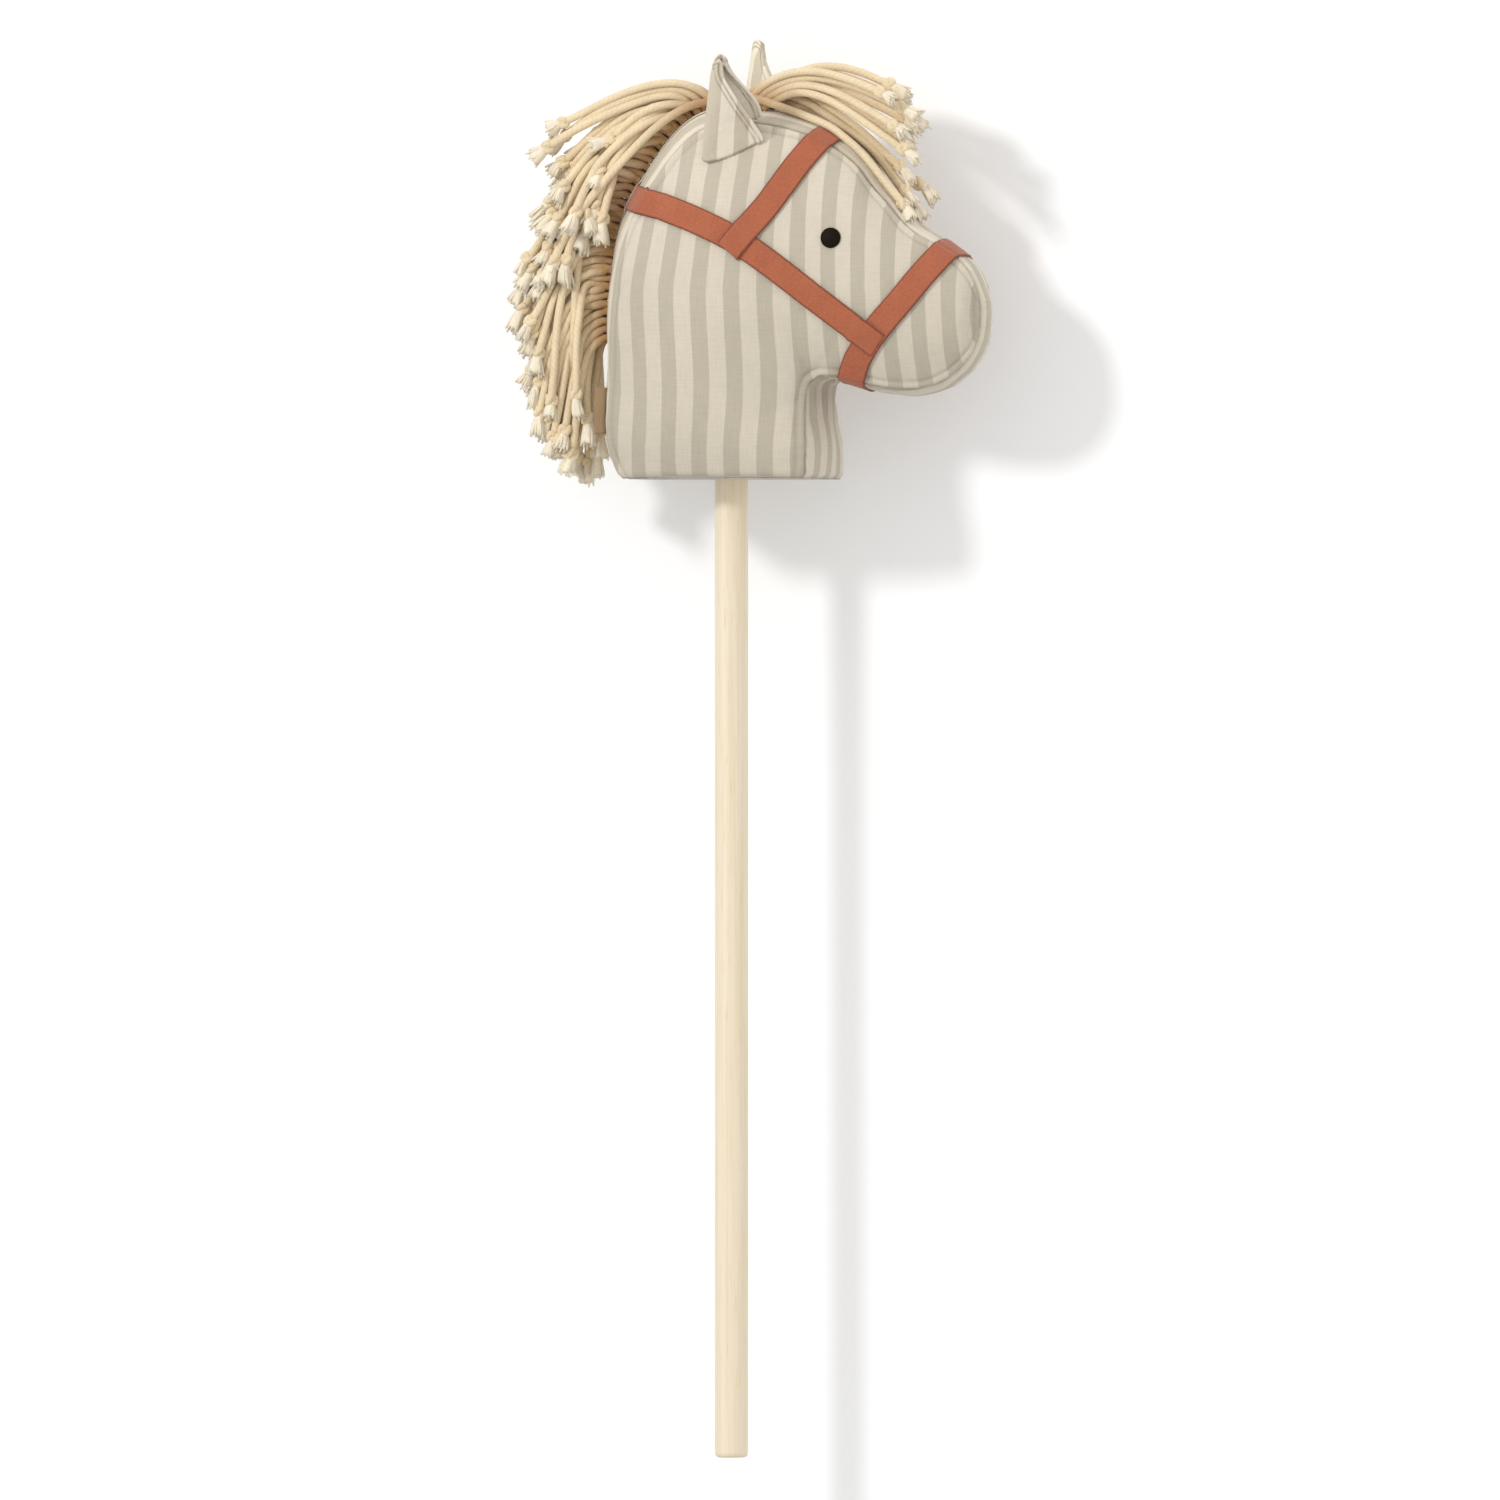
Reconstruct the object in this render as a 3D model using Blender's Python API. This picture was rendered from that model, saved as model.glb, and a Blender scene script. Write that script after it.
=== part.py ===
"""Hobby horse: a stuffed striped head with a ribbon bridle and a corded mane on a round stick.

The horse faces +X, its right side is -Y, and the origin is the middle of the stick's foot.
The head is one loft. Each cover, the filling and the bridle are layers of that loft, and what
is sewn on the head finds its place by a ray on it, so all of them follow when the head changes.
"""

import math
import random

import bmesh
import bpy
from mathutils import Matrix, Vector
from mathutils.bvhtree import BVHTree

# Size of the bare head: nape to nose, floor to poll, and side to side
HEAD_LENGTH = 0.249
HEAD_HEIGHT = 0.234
HEAD_WIDTH = 0.134

# Stick and its seat in the head
STICK_DIAMETER = 0.022
STICK_BELOW_HEAD = 0.641
STICK_IN_HEAD = 0.175
STICK_EDGE = 0.003
TIE_HEIGHT = 0.030
TIE_CORD = 0.003
TIE_GROOVE_DEPTH = 0.0015
TIE_GROOVE_WIDTH = 0.005

# Cloth and clearances
CLOTH = 0.0014
CLEARANCE = 0.0003
SEAM_TRIM = 0.00024

# Bridle ribbon
RIBBON_WIDTH = 0.0155
RIBBON_THICKNESS = 0.0011
RIBBON_REST = 0.00045
LAYERS_ROOM = 0.006
RIBBON_STEP = 0.008
BROWBAND_STEP = 0.006
WRAP_STEPS = 7
SETTLE_ROUNDS = 8
SETTLE_SHARES = 4
FOLDED_END = 0.0096

# Eye and its washer
EYE_DIAMETER = 0.0135
EYE_DOME = 0.0026
EYE_SHANK_DIAMETER = 0.004
EYE_SHANK_LENGTH = 0.012
WASHER_DIAMETER = 0.014
WASHER_THICKNESS = 0.0012
WASHER_SETBACK = 0.0030
EYE_PLACE = (82, 157.5)
EYE_REST = 0.0004
EYE_STEPS = 4
TURNED_STEPS = 16

# Ear
EAR_LENGTH = 0.066
EAR_UPRIGHT = math.radians(4)
RIGHT_EAR_REST = math.radians(31)
EAR_REAR_PLACE = (-7, 40.5, 220)
EAR_FRONT_PLACE = (34, 27.5, 220)
EAR_ROWS = 8
EAR_COLUMNS = 10
EAR_SEWN_COLUMNS = (1, 3)
EAR_LEAVES_GAP = 0.00034

# Mane and forelock
CORD_DIAMETER = 0.0050
ROOT_DIAMETER = 0.0026
KNOT_DIAMETER = 0.0082
TUFT_DIAMETER = 0.0074
MANE_CORDS = 30
FORELOCK_CORDS = 12
CORD_REST = 0.0022
CORD_STEPS = 8
CORD_SIDES = 5
TAPE_WIDTH = 0.010
TAPE_THICKNESS = 0.0022
TAPE_END = 0.05
ROOT_OFFSET = 0.002

# Folded tab in the rear seam
TAB_HEIGHT = 0.030
TAB_DEPTH = 0.008
TAB_THICKNESS = 0.0020
TAB_MIDDLE = 0.0450
TAB_STEPS = 6

# Key sections of the head, in parts of its size from the stick's axis and the head's floor:
# lower seam x z, upper seam x z, half width of the gusset at each, swell of the side panels,
# crown of the gusset at each
SECTIONS = (
    (64, 0, -65, 0, 40, 38, 13, 2, 2),
    (64, 22, -74, 28, 39, 37, 19, 4, 7),
    (62, 43, -73, 75, 33, 36, 21, 3, 9),
    (62.5, 59, -70, 125, 29, 35, 22, 2, 11),
    (65, 65, -62, 160, 27, 34, 22, 2, 14),
    (70, 67, -46, 191, 25, 32, 22, 2, 15),
    (78, 67, -18, 225, 24, 30, 21, 3, 14),
    (88, 65.5, 12, 234, 23, 28, 20, 4, 9),
    (100, 62, 50, 224, 21, 26, 20, 4, 8),
    (114, 59.5, 82, 207.5, 20, 24, 20, 4, 7),
    (130, 58.5, 104, 183, 19, 22, 20, 4, 6),
    (147, 61.5, 126, 163, 18, 20, 19, 3, 4),
    (160, 70, 148, 151, 17, 18, 16, 2, 3),
    (170, 82.5, 166, 137.5, 16, 16, 11, 2, 2),
    (175, 98, 175.5, 116, 15, 15, 0, 2, 2),
)
LOFT_SAMPLES = 200
SUBSTEPS = 2
PANEL_STEPS = 10
GUSSET_STEPS = 4
ROUND_STEPS = 2 * PANEL_STEPS + 2 * GUSSET_STEPS

# Bridle routes on the side of the head, in parts of its size
HEADSTALL_ROUTE = ((113, 88), (71, 120), (28, 152), (-4, 168.5), (-33, 179.5))
HEADSTALL_OVER_NAPE = (-0.975, 0.22)
BROWBAND_ROUTE = ((15.5, 149), (27, 163.4), (40, 180), (54, 205))
BROWBAND_OVER_BROW = (0.46, 0.89)
NOSEBAND_ROUTE = ((141, 138), (130, 116), (113, 96), (98, 78))
NOSEBAND_OVER_NOSE = (0.55, 0.83)
NOSEBAND_UNDER_JAW = (-0.44, -0.90)

# Places along the loft where the mane, the forelock and the tab are sewn
MANE_FROM = 2.3
MANE_TO = 6.45
FORELOCK_FROM = 6.84
FORELOCK_TO = 7.36

# Ends of the mane's cords from their roots, and how far they first stand out, in parts
MANE_ENDS = ((-22, -92), (-56, -68), (-72, -56), (-80, -54), (-98, -14))
MANE_PULLS = ((0, 24), (0.25, 34), (0.5, 38), (0.75, 36), (1, 40))
MANE_REACH = (0.88, 1.08)
MANE_SPREAD = (0.004, 0.024)
MANE_LEAN = 0.12
MANE_TAPE_STEPS = 26

# Places where the forelock's cords end, and how high they arch, in parts
FORELOCK_ENDS = ((124, 172), (125, 192), (122, 214), (116, 236), (101, 250))
FORELOCK_ARCHES = ((0, 30), (0.25, 34), (0.5, 40), (0.75, 47), (1, 52))
FORELOCK_REACH = (0.93, 1.03)
FORELOCK_SPREAD = (0.003, 0.018)
FORELOCK_WAY = (0.85, 0, 0.75)
FORELOCK_LEAN = 0.1
FORELOCK_FAN_STEP = 5
FORELOCK_TAPE_STEPS = 4

# Ear outline: height share, then the fold, the near rim and the far rim, in parts of its size
EAR_FOLD = ((0, -20.4), (0.38, -17.7), (0.7, -15.8), (0.93, -14), (1, -11.5))
EAR_NEAR_RIM = ((0, 20), (0.25, 12), (0.5, 3.5), (0.88, -10.5), (1, -9.5))
EAR_FAR_RIM = ((0, 20.5), (0.2, 19.5), (0.4, 16.4), (0.62, 10), (0.83, 3), (1, -6))
EAR_HALF_WIDTH = ((0, 5), (0.3, 6.2), (0.6, 7.5), (0.85, 5.5), (1, 2.6))

# A head of the sizes above is this many parts long, high and wide in the tables
X_PART = HEAD_LENGTH / 249
Z_PART = HEAD_HEIGHT / 234
Y_PART = HEAD_WIDTH / 134
EAR_PART = EAR_LENGTH / 66

STICK_RADIUS = STICK_DIAMETER / 2
HEAD_FLOOR = STICK_BELOW_HEAD + CLOTH + CLEARANCE
LAST = len(SECTIONS) - 1
ACROSS = Vector((0, 1, 0))
RIGHT = -1
LEFT = 1


def clear_scene():
    for old in list(bpy.data.objects):
        bpy.data.objects.remove(old, do_unlink=True)


def material(name, colour, roughness):
    made = bpy.data.materials.new(name)
    made.use_nodes = True
    shader = made.node_tree.nodes["Principled BSDF"]
    shader.inputs["Base Color"].default_value = (*colour, 1)
    shader.inputs["Roughness"].default_value = roughness
    shader.inputs["Metallic"].default_value = 0
    return made


def add_grid(bm, grid):
    """Quads over a grid of points, given as rows of equal length."""
    rows = [[bm.verts.new(point) for point in row] for row in grid]
    for row, after in zip(rows, rows[1:]):
        for i in range(len(row) - 1):
            bm.faces.new((row[i], row[i + 1], after[i + 1], after[i]))


def solid(name, grids, look, smooth=40):
    """One closed body from grids that share their border points."""
    bm = bmesh.new()
    for grid in grids:
        add_grid(bm, grid)
    bmesh.ops.remove_doubles(bm, verts=bm.verts, dist=1e-6)
    bmesh.ops.dissolve_degenerate(bm, edges=bm.edges, dist=1e-7)
    bmesh.ops.recalc_face_normals(bm, faces=bm.faces)
    mesh = bpy.data.meshes.new(name)
    bm.to_mesh(mesh)
    bm.free()
    mesh.materials.append(look)
    mesh.shade_smooth()
    mesh.set_sharp_from_angle(angle=math.radians(smooth))
    made = bpy.data.objects.new(name, mesh)
    bpy.context.collection.objects.link(made)
    return made


def set_origin(made, place):
    """Moves the object's origin to a place and leaves its mesh where it is."""
    made.data.transform(Matrix.Translation(-place))
    made.location = place


def rim_strips(outer, inner):
    """The four border strips that join an outer grid to an inner one."""
    strips = [[outer[0], inner[0]], [outer[-1], inner[-1]]]
    for side in (0, -1):
        strips.append([[row[side] for row in outer], [row[side] for row in inner]])
    return strips


def shell(name, outer, inner, look):
    return solid(name, [outer, inner, *rim_strips(outer, inner)], look)


def cut(made, tool):
    """Cuts a hidden tool out of a solid."""
    tool.hide_render = True
    tool.display_type = "WIRE"
    step = made.modifiers.new(tool.name, "BOOLEAN")
    step.operation = "DIFFERENCE"
    step.object = tool


# Smooth curves through a few rows of numbers

def keyed(rows, t):
    """The row at t on a smooth curve through the rows, numbered from 0."""
    i = min(int(t), len(rows) - 2)
    f = t - i
    ends = [rows[min(max(k, 0), len(rows) - 1)] for k in (i - 1, i, i + 1, i + 2)]
    return [
        0.5 * (2 * b + (c - a) * f + (2 * a - 5 * b + 4 * c - d) * f * f + (3 * b - a - 3 * c + d) * f**3)
        for a, b, c, d in zip(*ends)
    ]


def level(pairs, share):
    """Value at a share of the height, on straight runs between pairs."""
    for (x0, y0), (x1, y1) in zip(pairs, pairs[1:]):
        if share <= x1:
            return y0 + (y1 - y0) * (share - x0) / (x1 - x0)
    return pairs[-1][1]


def side_route(points, spacing):
    """Places in the XZ plane on a smooth route through places on the head."""
    ends = [place_in_plane(x, z) for x, z in points]
    count = max(2, round(sum((b - a).length for a, b in zip(ends, ends[1:])) / spacing))
    scale = (len(points) - 1) / count
    return [place_in_plane(*keyed(points, k * scale)) for k in range(count + 1)]


# The head's loft

def seams(t, inset):
    """Lower and upper seam at t: place in the middle plane, way out, half width and crown."""
    now = keyed(SECTIONS, t)
    before = keyed(SECTIONS, max(t - 0.05, 0))
    after = keyed(SECTIONS, min(t + 0.05, LAST))
    run = [b - a for a, b in zip(before, after)]
    lower_out = Vector((run[1] * Z_PART, 0, -run[0] * X_PART)).normalized()
    upper_out = Vector((-run[3] * Z_PART, 0, run[2] * X_PART)).normalized()
    if t == 0:
        lower_out = Vector((1, 0, 0))
        upper_out = Vector((-1, 0, 0))
    lower = place_in_plane(now[0], now[1]) - lower_out * inset
    upper = place_in_plane(now[2], now[3]) - upper_out * inset
    return ((lower, lower_out, now[4] * Y_PART - inset, now[7] * Y_PART),
            (upper, upper_out, now[5] * Y_PART - inset, now[8] * Y_PART))


def panel_share(j):
    """Place across a side panel, closer together near the seams."""
    even = j / PANEL_STEPS
    return 0.5 * even + 0.25 * (1 - math.cos(math.pi * even))


def panel_row(t, inset, side):
    """Points of one section of a side panel, from the lower seam to the upper one."""
    (lower, _, lower_half, _), (upper, _, upper_half, _) = seams(t, inset)
    swell = max(keyed(SECTIONS, t)[6], 0) * Y_PART
    row = []
    for j in range(PANEL_STEPS + 1):
        s = panel_share(j)
        half = lower_half * (1 - s) + upper_half * s + swell * max(math.sin(math.pi * s), 0) ** 0.62
        row.append(lower.lerp(upper, s) + ACROSS * side * half)
    return row


def gusset_row(edge, steps=GUSSET_STEPS):
    """Points across the gusset from its right edge to its left one."""
    place, out, half, crown = edge
    row = []
    for k in range(steps + 1):
        v = 2 * k / steps - 1
        row.append(place + out * crown * (1 - v * v) + ACROSS * v * half)
    return row


def stations():
    return [k / SUBSTEPS for k in range(LAST * SUBSTEPS + 1)]


def panel_grid(inset, side):
    return [panel_row(t, inset, side) for t in stations()]


def gusset_grid(inset):
    """Rows from the chest under the jaw, round the nose and back over the head to the nape."""
    lower = [gusset_row(seams(t, inset)[0]) for t in stations()]
    upper = [gusset_row(seams(t, inset)[1]) for t in stations()]
    tip_lower, tip_upper = seams(LAST, inset)
    nose = []
    for j in range(1, PANEL_STEPS):
        s = panel_share(j)
        place = tip_lower[0].lerp(tip_upper[0], s)
        out = tip_lower[1].lerp(tip_upper[1], s).normalized()
        half = tip_lower[2] * (1 - s) + tip_upper[2] * s
        crown = tip_lower[3] * (1 - s) + tip_upper[3] * s
        nose.append(gusset_row((place, out, half, crown)))
    return lower + nose + upper[::-1]


def floor_ring(inset):
    """The head's bottom outline, once round from the right lower seam."""
    lower, upper = seams(0, inset)
    right = panel_row(0, inset, RIGHT)
    left = panel_row(0, inset, LEFT)
    return right + gusset_row(upper)[1:-1] + left[::-1] + gusset_row(lower)[-2:0:-1]


def ring(radius, z):
    """A circle about the stick's axis, matched point by point to the head's outline."""
    step = 2 * math.pi / ROUND_STEPS
    start = GUSSET_STEPS / 2 * step
    return [Vector((radius * math.cos(start + k * step), -radius * math.sin(start + k * step), z))
            for k in range(ROUND_STEPS)]


def closed(row):
    return [*row, row[0]]


def turned(profile):
    """A turned surface about the stick's axis from radius and height pairs."""
    return [closed(ring(radius, z)) for radius, z in profile]


def trimmed(grid, rows=True):
    """The grid drawn back from its seams, so that two covers meet with a clearance."""
    def nearer(point, inner):
        return point + (inner - point).normalized() * SEAM_TRIM
    made = [list(row) for row in grid]
    for row in made:
        row[0] = nearer(row[0], row[1])
        row[-1] = nearer(row[-1], row[-2])
    if rows:
        made[-1] = [nearer(point, inner) for point, inner in zip(made[-1], made[-2])]
    return made


def head_grids():
    return [panel_grid(0, RIGHT), panel_grid(0, LEFT), gusset_grid(0)]


def target(grids):
    """A ray target made of grids, with its faces pointing out."""
    bm = bmesh.new()
    for grid in grids:
        add_grid(bm, grid)
    bmesh.ops.remove_doubles(bm, verts=bm.verts, dist=1e-6)
    bmesh.ops.recalc_face_normals(bm, faces=bm.faces)
    tree = BVHTree.FromBMesh(bm)
    bm.free()
    return tree


def surface_hit(tree, inside, way):
    """Where a ray from inside the head comes out on top of the layers laid on it."""
    skin = tree.ray_cast(inside, way)[0]
    place = tree.ray_cast(skin + way * LAYERS_ROOM, -way)[0]
    return place


def height_above(tree, point):
    """Signed distance of a point from the head, positive outside."""
    place, normal, _, _ = tree.find_nearest(point)
    away = point - place
    return away.length if away.dot(normal) >= 0 else -away.length


# Stick, sleeve and tie

def groove(radius, half_width, depth):
    """A turned neck round the tie, from below to above."""
    middle = HEAD_FLOOR + TIE_HEIGHT
    return [(radius, middle - half_width), (radius - depth, middle - half_width / 2),
            (radius - depth, middle + half_width / 2), (radius, middle + half_width)]


def make_stick(look):
    top = HEAD_FLOOR + STICK_IN_HEAD
    bends = [math.pi / 2 * k / 3 for k in range(4)]
    foot = [(STICK_RADIUS - STICK_EDGE * (1 - math.sin(a)), STICK_EDGE * (1 - math.cos(a))) for a in bends]
    head = [(radius, top - z) for radius, z in foot[::-1]]
    neck = groove(STICK_RADIUS, TIE_GROOVE_WIDTH / 2, TIE_GROOVE_DEPTH)
    return solid("stick", [turned([(0, 0), *foot, *neck, *head, (0, top)])], look)


def sleeve_radii():
    inner = STICK_RADIUS + CLEARANCE
    return inner, inner + CLOTH


def make_sleeve(look):
    inner, outer = sleeve_radii()
    roof = HEAD_FLOOR + STICK_IN_HEAD + CLEARANCE
    inside = [(inner, HEAD_FLOOR), *groove(inner, TIE_GROOVE_WIDTH / 2, TIE_GROOVE_DEPTH), (inner, roof)]
    outside = [(outer, HEAD_FLOOR), *groove(outer, TIE_GROOVE_WIDTH / 2, TIE_GROOVE_DEPTH),
               (outer, roof + CLOTH)]
    lining = turned([*inside, (0, roof)])
    outer_side = turned([(0, roof + CLOTH), *outside[::-1], inside[0]])
    return solid("stick_sleeve", [lining, outer_side], look)


def make_tie(look):
    """The cord that binds the sleeve into the stick's groove."""
    cord = TIE_CORD / 2
    middle = sleeve_radii()[1] - TIE_GROOVE_DEPTH + CLEARANCE + cord
    turn = [2 * math.pi * k / 6 for k in range(7)]
    profile = [(middle + cord * math.cos(a), HEAD_FLOOR + TIE_HEIGHT + cord * math.sin(a)) for a in turn]
    return solid("sleeve_tie", [turned(profile)], look)


# Covers and filling

def make_panels(cloth):
    made = []
    for name, side in (("right_side_panel", RIGHT), ("left_side_panel", LEFT)):
        made.append(shell(name, trimmed(panel_grid(0, side)), trimmed(panel_grid(CLOTH, side)), cloth))
    return made


def make_gusset(cloth):
    return shell("center_gusset", trimmed(gusset_grid(0), rows=False),
                 trimmed(gusset_grid(CLOTH), rows=False), cloth)


def make_base_panel(cloth):
    """The flat floor of the head, with a round hole for the stick."""
    edge = closed(floor_ring(0))
    hole = STICK_RADIUS + CLEARANCE
    drop = Vector((0, 0, CLEARANCE))
    top = [[point - drop for point in edge], closed(ring(hole, HEAD_FLOOR - CLEARANCE))]
    under = [[point - Vector((0, 0, CLOTH)) for point in row] for row in top]
    walls = [[top[0], under[0]], [top[1], under[1]]]
    return solid("base_panel", [top, under, *walls], cloth, smooth=30)


def make_stuffing(look):
    """The filling, with a blind bore for the sleeve and room for the tie."""
    inset = CLOTH + CLEARANCE
    bore = sleeve_radii()[1] + CLEARANCE
    roof = HEAD_FLOOR + STICK_IN_HEAD + CLOTH + 2 * CLEARANCE
    room = TIE_CORD + 2 * CLEARANCE
    profile = [(bore, HEAD_FLOOR), *groove(bore, room, TIE_GROOVE_DEPTH - room), (bore, roof), (0, roof)]
    floor = [closed(floor_ring(inset)), closed(ring(bore, HEAD_FLOOR))]
    covers = [panel_grid(inset, RIGHT), panel_grid(inset, LEFT), gusset_grid(inset)]
    return solid("stuffing", [*covers, floor, turned(profile)], look)


# Eyes

def make_turned_part(name, profile, place, way, look):
    """A turned part whose axis points out of the head at a place."""
    angles = [2 * math.pi * k / TURNED_STEPS for k in range(TURNED_STEPS)]
    grid = []
    for radius, z in profile:
        row = [Vector((radius * math.cos(a), radius * math.sin(a), z)) for a in angles]
        grid.append(closed(row))
    made = solid(name, [grid], look)
    turn = Vector((0, 0, 1)).rotation_difference(way).to_matrix().to_4x4()
    made.data.transform(Matrix.Translation(place) @ turn)
    return made


def make_eyes(tree, panels, stuffing, plastic, washer_look):
    """A domed eye on a shank through the cover, held by a washer behind it."""
    rise = EYE_REST
    radius = EYE_DIAMETER / 2
    shank = EYE_SHANK_DIAMETER / 2
    dome = [(radius * math.cos(a), rise + EYE_DOME * (0.25 + 0.75 * math.sin(a)))
            for a in (math.pi / 2 * k / EYE_STEPS for k in range(EYE_STEPS + 1))]
    eye = [(0, -EYE_SHANK_LENGTH), (shank, -EYE_SHANK_LENGTH), (shank, rise), (radius, rise), *dome]
    hole = shank + CLEARANCE
    rim = WASHER_DIAMETER / 2
    back = WASHER_SETBACK + WASHER_THICKNESS
    washer = [(hole, -WASHER_SETBACK), (rim, -WASHER_SETBACK), (rim, -back), (hole, -back),
              (hole, -WASHER_SETBACK)]
    pocket_floor = -back - CLEARANCE
    end = -EYE_SHANK_LENGTH - CLEARANCE
    pocket = [(0, end), (hole, end), (hole, pocket_floor), (rim + CLEARANCE, pocket_floor),
              (rim + CLEARANCE, EYE_DOME), (0, EYE_DOME)]
    bore = [(0, end), (hole, end), (hole, EYE_DOME), (0, EYE_DOME)]
    for name, side, panel in (("right", RIGHT, panels[0]), ("left", LEFT, panels[1])):
        inside = place_in_plane(*EYE_PLACE)
        place = surface_hit(tree, inside, ACROSS * side)
        spots = [surface_hit(tree, inside + Vector(step) * radius, ACROSS * side)
                 for step in ((1, 0, 0), (-1, 0, 0), (0, 0, 1), (0, 0, -1))]
        way = (spots[0] - spots[1]).cross(spots[2] - spots[3]).normalized()
        way = way if way.y * side > 0 else -way
        make_turned_part(name + "_eye", eye, place, way, plastic)
        make_turned_part(name + "_eye_washer", washer, place, way, washer_look)
        cut(panel, make_turned_part(name + "_eye_hole", bore, place, way, plastic))
        cut(stuffing, make_turned_part(name + "_eye_pocket", pocket, place, way, plastic))


# Ribbons and tapes laid on the head

def wrap(place, out, to_side):
    """Rays about one place, from square to the head's side to the way out in the middle plane."""
    rays = []
    for k in range(1, WRAP_STEPS + 1):
        a = math.pi / 2 * k / WRAP_STEPS
        rays.append((place, to_side * math.cos(a) + out * math.sin(a), ACROSS.cross(out)))
    return rays


def side_rays(points, to_side, spacing=RIBBON_STEP):
    """Rays square to the middle plane along a route, each with the ribbon's width beside it."""
    places = side_route(points, spacing)
    rays = []
    for k, place in enumerate(places):
        way = (places[min(k + 1, len(places) - 1)] - places[max(k - 1, 0)]).normalized()
        rays.append((place, to_side, ACROSS.cross(way)))
    return rays


def mirrored(rays):
    """The same rays on the other side, in the opposite order."""
    return [(place, Vector((out.x, -out.y, out.z)), beside) for place, out, beside in rays[::-1]]


def laid_grids(tree, rays, width, thicknesses, around=False):
    """Under and upper side of a band laid on the head along rays."""
    hits = [[surface_hit(tree, place + beside * width / 2 * c, out) for c in (-1, 0, 1)]
            for place, out, beside in rays]
    count = len(hits)

    def near(i):
        return hits[i % count] if around else hits[min(max(i, 0), count - 1)]

    normals = []
    for i, (_, out, _) in enumerate(rays):
        row = []
        for c in range(3):
            along = near(i + 1)[c] - near(i - 1)[c]
            normal = along.cross(hits[i][min(c + 1, 2)] - hits[i][max(c - 1, 0)]).normalized()
            row.append(normal if normal.dot(out) > 0 else -normal)
        normals.append(row)
    lifts = [[RIBBON_REST] * 3 for _ in rays]
    for _ in range(SETTLE_ROUNDS):
        settle(tree, hits, normals, lifts, around)
    under = [[p + n * h for p, n, h in zip(*rows)] for rows in zip(hits, normals, lifts)]
    upper = [[p + n * (h + thickness) for p, n, h in zip(*rows)]
             for *rows, thickness in zip(hits, normals, lifts, thicknesses)]
    return under, upper


def settle(tree, hits, normals, lifts, around):
    """Raises the band where a face between its points would press into what lies below."""
    count = len(hits)
    shares = [k / SETTLE_SHARES for k in range(SETTLE_SHARES + 1)]
    for i in range(count if around else count - 1):
        after = (i + 1) % count
        for c in range(len(hits[i]) - 1):
            corners = [(i, c), (i, c + 1), (after, c), (after, c + 1)]
            p, q, r, s = (hits[a][b] + normals[a][b] * lifts[a][b] for a, b in corners)
            spots = [p.lerp(q, u).lerp(r.lerp(s, u), v) for u in shares for v in shares]
            short = RIBBON_REST - min(height_above(tree, spot) for spot in spots)
            if short > 0:
                for a, b in corners:
                    lifts[a][b] += short


# Bridle

def make_ribbon(below, name, rays, look, layers=None, around=False):
    """A ribbon laid over the grids below it, which its own grids then join."""
    thicknesses = [RIBBON_THICKNESS * layer for layer in layers or [1] * len(rays)]
    under, upper = laid_grids(target(below), rays, RIBBON_WIDTH, thicknesses, around)
    if around:
        under.append(under[0])
        upper.append(upper[0])
        grids = [upper, under, *rim_strips(upper, under)[2:]]
    else:
        grids = [upper, under, *rim_strips(upper, under)]
    below.extend(grids)
    return solid(name, grids, look)


def both_sides(rays):
    """Right half, then the left half in mirror, with the middle ray once."""
    return rays + mirrored(rays[:-1])


def place_in_plane(x, z):
    """A point of the middle plane, given in parts ahead of the stick and above the head's floor."""
    return Vector((x * X_PART, 0, z * Z_PART + HEAD_FLOOR))


def flat_way(way):
    return Vector((way[0], 0, way[1])).normalized()


def make_bridle(below, look):
    """A noseband ring round the muzzle, the headstall over it and the nape, and the browband."""
    right = ACROSS * RIGHT
    down = side_rays(NOSEBAND_ROUTE, right)
    nose = wrap(down[0][0], flat_way(NOSEBAND_OVER_NOSE), right)
    nose = [(place, out, -beside) for place, out, beside in nose[::-1]]
    jaw = wrap(down[-1][0], flat_way(NOSEBAND_UNDER_JAW), right)
    half = nose + down + jaw
    make_ribbon(below, "noseband", half + mirrored(half[1:-1]), look, around=True)

    along = side_rays(HEADSTALL_ROUTE, right)
    nape = wrap(along[-1][0], flat_way(HEADSTALL_OVER_NAPE), right)
    make_ribbon(below, "headstall", both_sides(along + nape), look)

    along = side_rays(BROWBAND_ROUTE, right, BROWBAND_STEP)
    brow = wrap(along[-1][0], flat_way(BROWBAND_OVER_BROW), right)
    browband = both_sides(along + brow)
    crossing = place_in_plane(*HEADSTALL_ROUTE[2])
    folded = [abs(out.y) > 0.99 and (place - crossing).length < FOLDED_END
              for place, out, _ in browband]
    make_ribbon(below, "browband", browband, look, [1 + fold for fold in folded])


# Ears

def ear_frame(side):
    """Middle of the base, way along it, way out and way up of an upright ear."""
    rear, front = (place_in_plane(x, z) + ACROSS * side * y * Y_PART
                   for x, y, z in (EAR_REAR_PLACE, EAR_FRONT_PLACE))
    along = (front - rear).normalized()
    out = Vector((-along.y, along.x, 0)) * side
    up = Vector((0, 0, math.cos(EAR_UPRIGHT))) + out * math.sin(EAR_UPRIGHT)
    return (rear + front) / 2, along, out, up


def ear_grid(tree, side):
    """Middle surface of an ear, a cloth leaf folded along its rear with both rims forward."""
    base, along, out, up = ear_frame(side)
    feet = [ear_foot(tree, side, j) for j in range(EAR_COLUMNS + 1)]
    grid = []
    for i in range(EAR_ROWS + 1):
        t = i / EAR_ROWS
        row = []
        for j, foot in enumerate(feet):
            forward, across = ear_place(t, j)
            row.append(base + along * forward + out * across + up * (foot * (1 - t) + EAR_LENGTH * t))
        grid.append(row)
    return grid


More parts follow.
